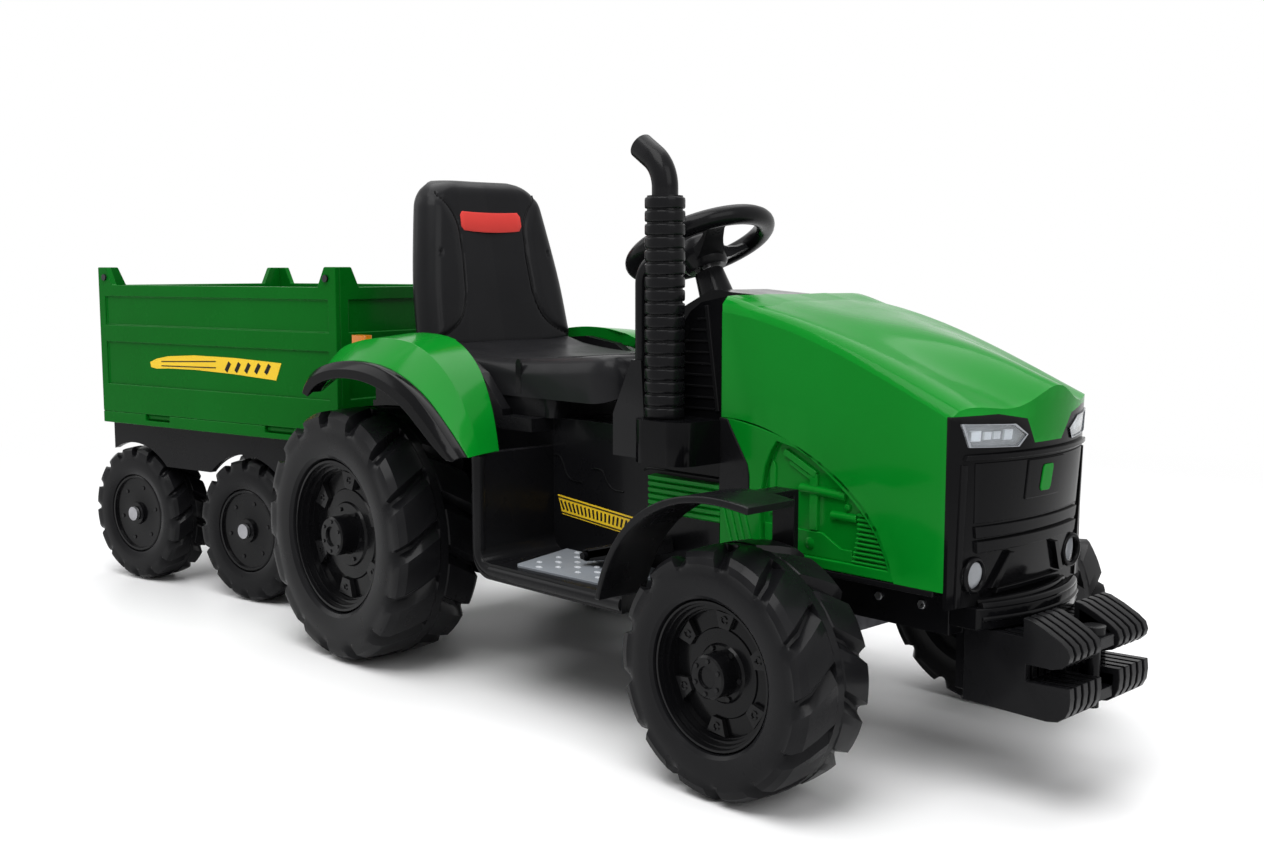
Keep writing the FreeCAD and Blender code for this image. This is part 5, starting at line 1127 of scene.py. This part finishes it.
def rear_mudguards():
    lines = []
    for share, top, low in GUARD_BANDS:
        over, under = [smooth_path([(x, 0, z) for x, z in line], 10) for line in (top, low)]
        lines.append((share, over + under[::-1]))
    for side, sign in SIDES:
        rings = []
        for station in GUARD_STATIONS:
            (start, first), (stop, second) = lines[:2] if station <= lines[1][0] else lines[1:]
            between = (station - start) / (stop - start)
            places = [a.lerp(b, between) for a, b in zip(first, second)]
            rings.append([guard_point(place.x, place.z, station, sign) for place in places])
        made = green("guard_shell_" + side, lofted(rings), 17, 2)
        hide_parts("rear_mudguard_" + side)


# Exhaust stack, cowl, body sides, steps and pedal
STACK = (478, -150, 342)
STACK_RINGS = 17
STACK_PITCH = 13.8
STACK_RING = ((19.2, 0), (20.6, 0.3), (21.3, 1.2), (21.5, 3), (21.5, 9), (21.3, 10.8), (20.6, 11.7),
              (19.2, 12), (19, 13.7))
COWL_LOUVRES = [350 + 12 * k for k in range(9)]
TUNNEL_FACE = 108
BODY_LINES = (
    ((241, 275.5), (256, 276), (263, 268), (270, 255), (280, 248.5), (299, 248)),
    ((315, 266), (332, 265.8), (339, 258), (345, 250), (354, 245.2), (370, 244.6)),
    ((404, 274), (416, 277), (470, 277), (528, 277)))
STRIPE = ((253.5, 228.3), (422, 214.2), (407, 193.2), (262, 205))
STRIPE_EDGES = (0.12, 0.9)
STRIPE_BARS = [(k + 0.6) / 22.5 for k in range(22)]
BAR_TOPS = (Vector((255, 222)), Vector((418, 208.6)))
BAR_FEET = (Vector((261.5, 211)), Vector((411.5, 199)))
LIP_PATH = ((239, 284), (239, 230), (239, 180), (241, 167), (248, 157.5), (260, 152.5),
            (276, 151.5), (380, 151.5), (486, 151.5))
LIP_FACE = 217.5
LIP_RADIUS = 8.2
PLATE = ((270, 109), (297, 207), (303, 212), (450, 205), (454, 200), (454, 109))
PLATE_HEIGHTS = (160.5, 164)
STUD_START = Vector((304.2, 151.2))
STUD_WAYS = (Vector((20.3, 17.6)), Vector((15.2, -15.8)))
STUD_DOME = ((1, -0.5), (1, 0.2), (0.8, 0.9), (0.45, 1.4), (0.02, 1.6))
STUD_HALF = 3.2
PEDAL = TRACTOR_MM @ Matrix.Translation((360, -137, 176)) @ Matrix.Rotation(radians(-15), 4, "Y")
PEDAL_SIDE = ((-7, -5), (0, -7), (100, -14), (100, 2.5), (97, 4), (0, 6.6), (-5, 5))
PEDAL_HALF = 21
PEDAL_RIBS = [16 + 12 * k for k in range(7)]
PEDAL_RIB = ((-2.4, -1), (2.4, -1), (1.4, 1.2), (-1.4, 1.2))
RIB_HALF = 17


def exhaust_stack():
    """The ringed exhaust stack, each ring barrelled."""
    profile = [(AXIS, 0)]
    for k in range(STACK_RINGS):
        profile += [(radius, STACK_PITCH * k + rise) for radius, rise in STACK_RING]
    profile.append((AXIS, STACK_PITCH * STACK_RINGS))
    shape = revolved([(radius, -height) for radius, height in profile], 48)
    shape.transform(Matrix.Translation(STACK) @ Matrix.Rotation(-pi / 2, 4, "X"))
    made = satin("stack_rings", shape, 50)
    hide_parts("exhaust_stack")


def cowl_sides():
    for side, sign in SIDES:
        slats = []
        for z in COWL_LOUVRES:
            rear = 462 + max(0, z - 400) * 0.75
            front = 522 - 0.09 * (z - COWL_LOUVRES[0])
            outline = ((rear, z), (front, z + 1), (front, z + 3.4), (rear, z + 2.4))
            slats.append(side_plate(outline, 117, 119.4, sign))
        gloss("cowl_louvres_" + side, join(slats), bevel=0.5)
        trim = side_bar((510, 462), (527, 350), 5, 117, 120.6, sign)
        gloss("cowl_trim_" + side, trim, bevel=0.8)


def body_sides():
    corners = [Vector(corner) for corner in STRIPE]
    for side, sign in SIDES:
        shape = bmesh.new()
        for line in BODY_LINES:
            tube(shape, smooth_path([(x, TUNNEL_FACE * sign, z) for x, z in line]), 1.3, 8)
        gloss("body_lines_" + side, shape, 40)
        band = side_plate(STRIPE, TUNNEL_FACE - 1, TUNNEL_FACE + 0.7, sign)
        fixed("body_black", YELLOW, "stripe_" + side, band)
        lines = []
        for share in STRIPE_EDGES:
            lines.append((corners[0].lerp(corners[3], share), corners[1].lerp(corners[2], share), 1.6))
        for share in STRIPE_BARS:
            lines.append((BAR_TOPS[0].lerp(BAR_TOPS[1], share), BAR_FEET[0].lerp(BAR_FEET[1], share), 3))
        marks = [side_bar(*line, TUNNEL_FACE, TUNNEL_FACE + 1, sign) for line in lines]
        satin("stripe_marks_" + side, join(marks))


def well_lips():
    """The rolled rim along the outer edge of each foot well."""
    shape = bmesh.new()
    for sign in SIGNS:
        tube(shape, smooth_path([(x, LIP_FACE * sign, z) for x, z in LIP_PATH], 5), LIP_RADIUS, 14)
    satin("well_lips", shape, 50)


def foot_plates():
    low, top = PLATE_HEIGHTS
    for side, sign in SIDES:
        plate = pushed([(x, y * sign, low) for x, y in PLATE], (0, 0, top - low))
        made = fixed("plate_grey", GREY, "step_plate_" + side, plate, bevel=0.8)
        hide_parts("foot_plates")
        studs = bmesh.new()
        for i in range(-8, 12):
            for j in range(-6, 12):
                x, y = STUD_START + STUD_WAYS[0] * i + STUD_WAYS[1] * j
                if not (116 < y < 203 and 284 + 0.27 * (y - 109) < x < 446):
                    continue
                reach = 5.2 if (i + j) % 2 else 4.2
                loft(studs, [[(x + reach * share * cos(a), (y + STUD_HALF * share * sin(a)) * sign,
                               top + rise) for a in turns(14)] for share, rise in STUD_DOME])
        fixed("plate_grey", PALE, "step_studs_" + side, studs, 60)


def pedal():
    pad = pushed([(x, -PEDAL_HALF, z) for x, z in PEDAL_SIDE], (0, 2 * PEDAL_HALF, 0))
    for place in PEDAL_RIBS:
        top = 6.4 - 0.026 * place
        rib = [(place + x, -RIB_HALF, top + z) for x, z in PEDAL_RIB]
        prism(pad, rib, (0, 2 * RIB_HALF, 0))
    piece("pedal_pad", pad, PEDAL, "pedal", BLACK, bevel=1.2)


rear_mudguards()
exhaust_stack()
cowl_sides()
body_sides()
well_lips()
foot_plates()
pedal()

# Frame, bumper and weights
BOLT_PLACES = (770, 600, 720)
BOLT_HEIGHT = 181
BOLT_FACE = 91.8
# The bow of the bumper: its tip, rise and half width
BUMPER = (852, 22, 92)
# Ridges on the bumper: offset along X, half width, height, radius and sides
RIDGES = ((-5, 84, 187.5, 4.5, 12), (-17, 78, 188.5, 4, 12), (-1, 86, 176.5, 2.6, 10))
WEIGHT = ((806, 92), (894, 91), (905, 93), (912, 98), (916, 106), (917, 116), (916, 126), (872, 124),
          (872, 140), (898, 140), (908, 143), (914, 149), (915.5, 155), (913, 162), (905, 168), (890, 176),
          (876, 182), (868, 183), (868, 165), (806, 165))
WEIGHT_CORE = ((806, 96), (894, 96), (903, 98), (908, 103), (911, 112), (911, 121), (867, 119),
               (867, 145), (896, 145), (904, 147), (909, 152), (909, 157), (905, 162), (896, 167),
               (884, 173), (874, 177), (873, 177), (873, 160), (806, 160))
WEIGHT_INNER = 17
WEIGHT_PITCH = 12.4
WEIGHT_WIDTH = 8.4
WEIGHT_COUNT = 5


def frame_bolts():
    shape = bmesh.new()
    for sign in SIGNS:
        for x in BOLT_PLACES:
            prism(shape, disc((x, BOLT_FACE * sign, BOLT_HEIGHT), 4.6, 6), (0, 3 * sign, 0))
    fixed("steel", STEEL, "frame_bolts", shape, bevel=0.5)


def bumper_ridges():
    shape = bmesh.new()
    for offset, half, z, radius, sides in RIDGES:
        path = [(bowed(*BUMPER, y) + offset, y, z) for y in spread(half, 28)]
        tube(shape, path, radius, sides)
    gloss("bumper_ridges", shape, 45)


def front_weights():
    """Ribbed plates to each side of the hook, with round noses."""
    shape = bmesh.new()
    reach = WEIGHT_PITCH * (WEIGHT_COUNT - 1) + WEIGHT_WIDTH
    for sign in SIGNS:
        core = [(x, WEIGHT_INNER * sign, z) for x, z in WEIGHT_CORE]
        prism(shape, core, (0, (reach - 0.5) * sign, 0))
        for k in range(WEIGHT_COUNT):
            plate = [(x, (WEIGHT_INNER + WEIGHT_PITCH * k) * sign, z) for x, z in WEIGHT]
            prism(shape, plate, (0, WEIGHT_WIDTH * sign, 0))
    made = satin("weight_plates", shape, 35, 1.4)
    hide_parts("front_weights")


frame_bolts()
bumper_ridges()
front_weights()

# Trailer, whose X runs forward from the tow pin
BOX_FACE = 185
SWOOSH = ((-318, 356), (-300, 362), (-272, 366.5), (-210, 370), (-119, 369.4), (-15, 365.4),
          (-27, 340), (-120, 345.3), (-210, 348), (-272, 347.5), (-302, 346), (-316, 348))
# Marks on the band: both ends and the width
SWOOSH_MARKS = [((x, 362), (x - 9, 349), 7) for x in (-40, -62, -84, -106, -128)]
SWOOSH_MARKS += [((-160, 362.5), (-290, 357.5), 1.6), ((-160, 353), (-290, 351), 1.6)]
BEAD_X = (-429.5, 90.5)
BEAD_HALF = 176.5
BEAD_HEIGHT = 268
BEAD_RADIUS = 6


def trailer_bands():
    for side, sign in SIDES:
        band = side_plate(SWOOSH, BOX_FACE - 0.5, BOX_FACE + 0.6, sign)
        piece("trailer_band_" + side, band, TRAILER_MM, "trailer", YELLOW)
        marks = join([side_bar(*mark, BOX_FACE, BOX_FACE + 0.9, sign) for mark in SWOOSH_MARKS])
        piece("trailer_band_marks_" + side, marks, TRAILER_MM, "trailer", BLACK)


def trailer_bead():
    """A round bead along the foot of the panels, inside the box."""
    rear, front = BEAD_X
    places = ((front, -BEAD_HALF), (front, BEAD_HALF), (rear, BEAD_HALF), (rear, -BEAD_HALF))
    path = [(x, y, BEAD_HEIGHT) for x, y in places]
    shape = bmesh.new()
    for ends in closed(path):
        tube(shape, ends, BEAD_RADIUS)
    piece("trailer_bead", shape, TRAILER_MM, "trailer", TRAILER_GREEN, 40)


trailer_bands()
trailer_bead()
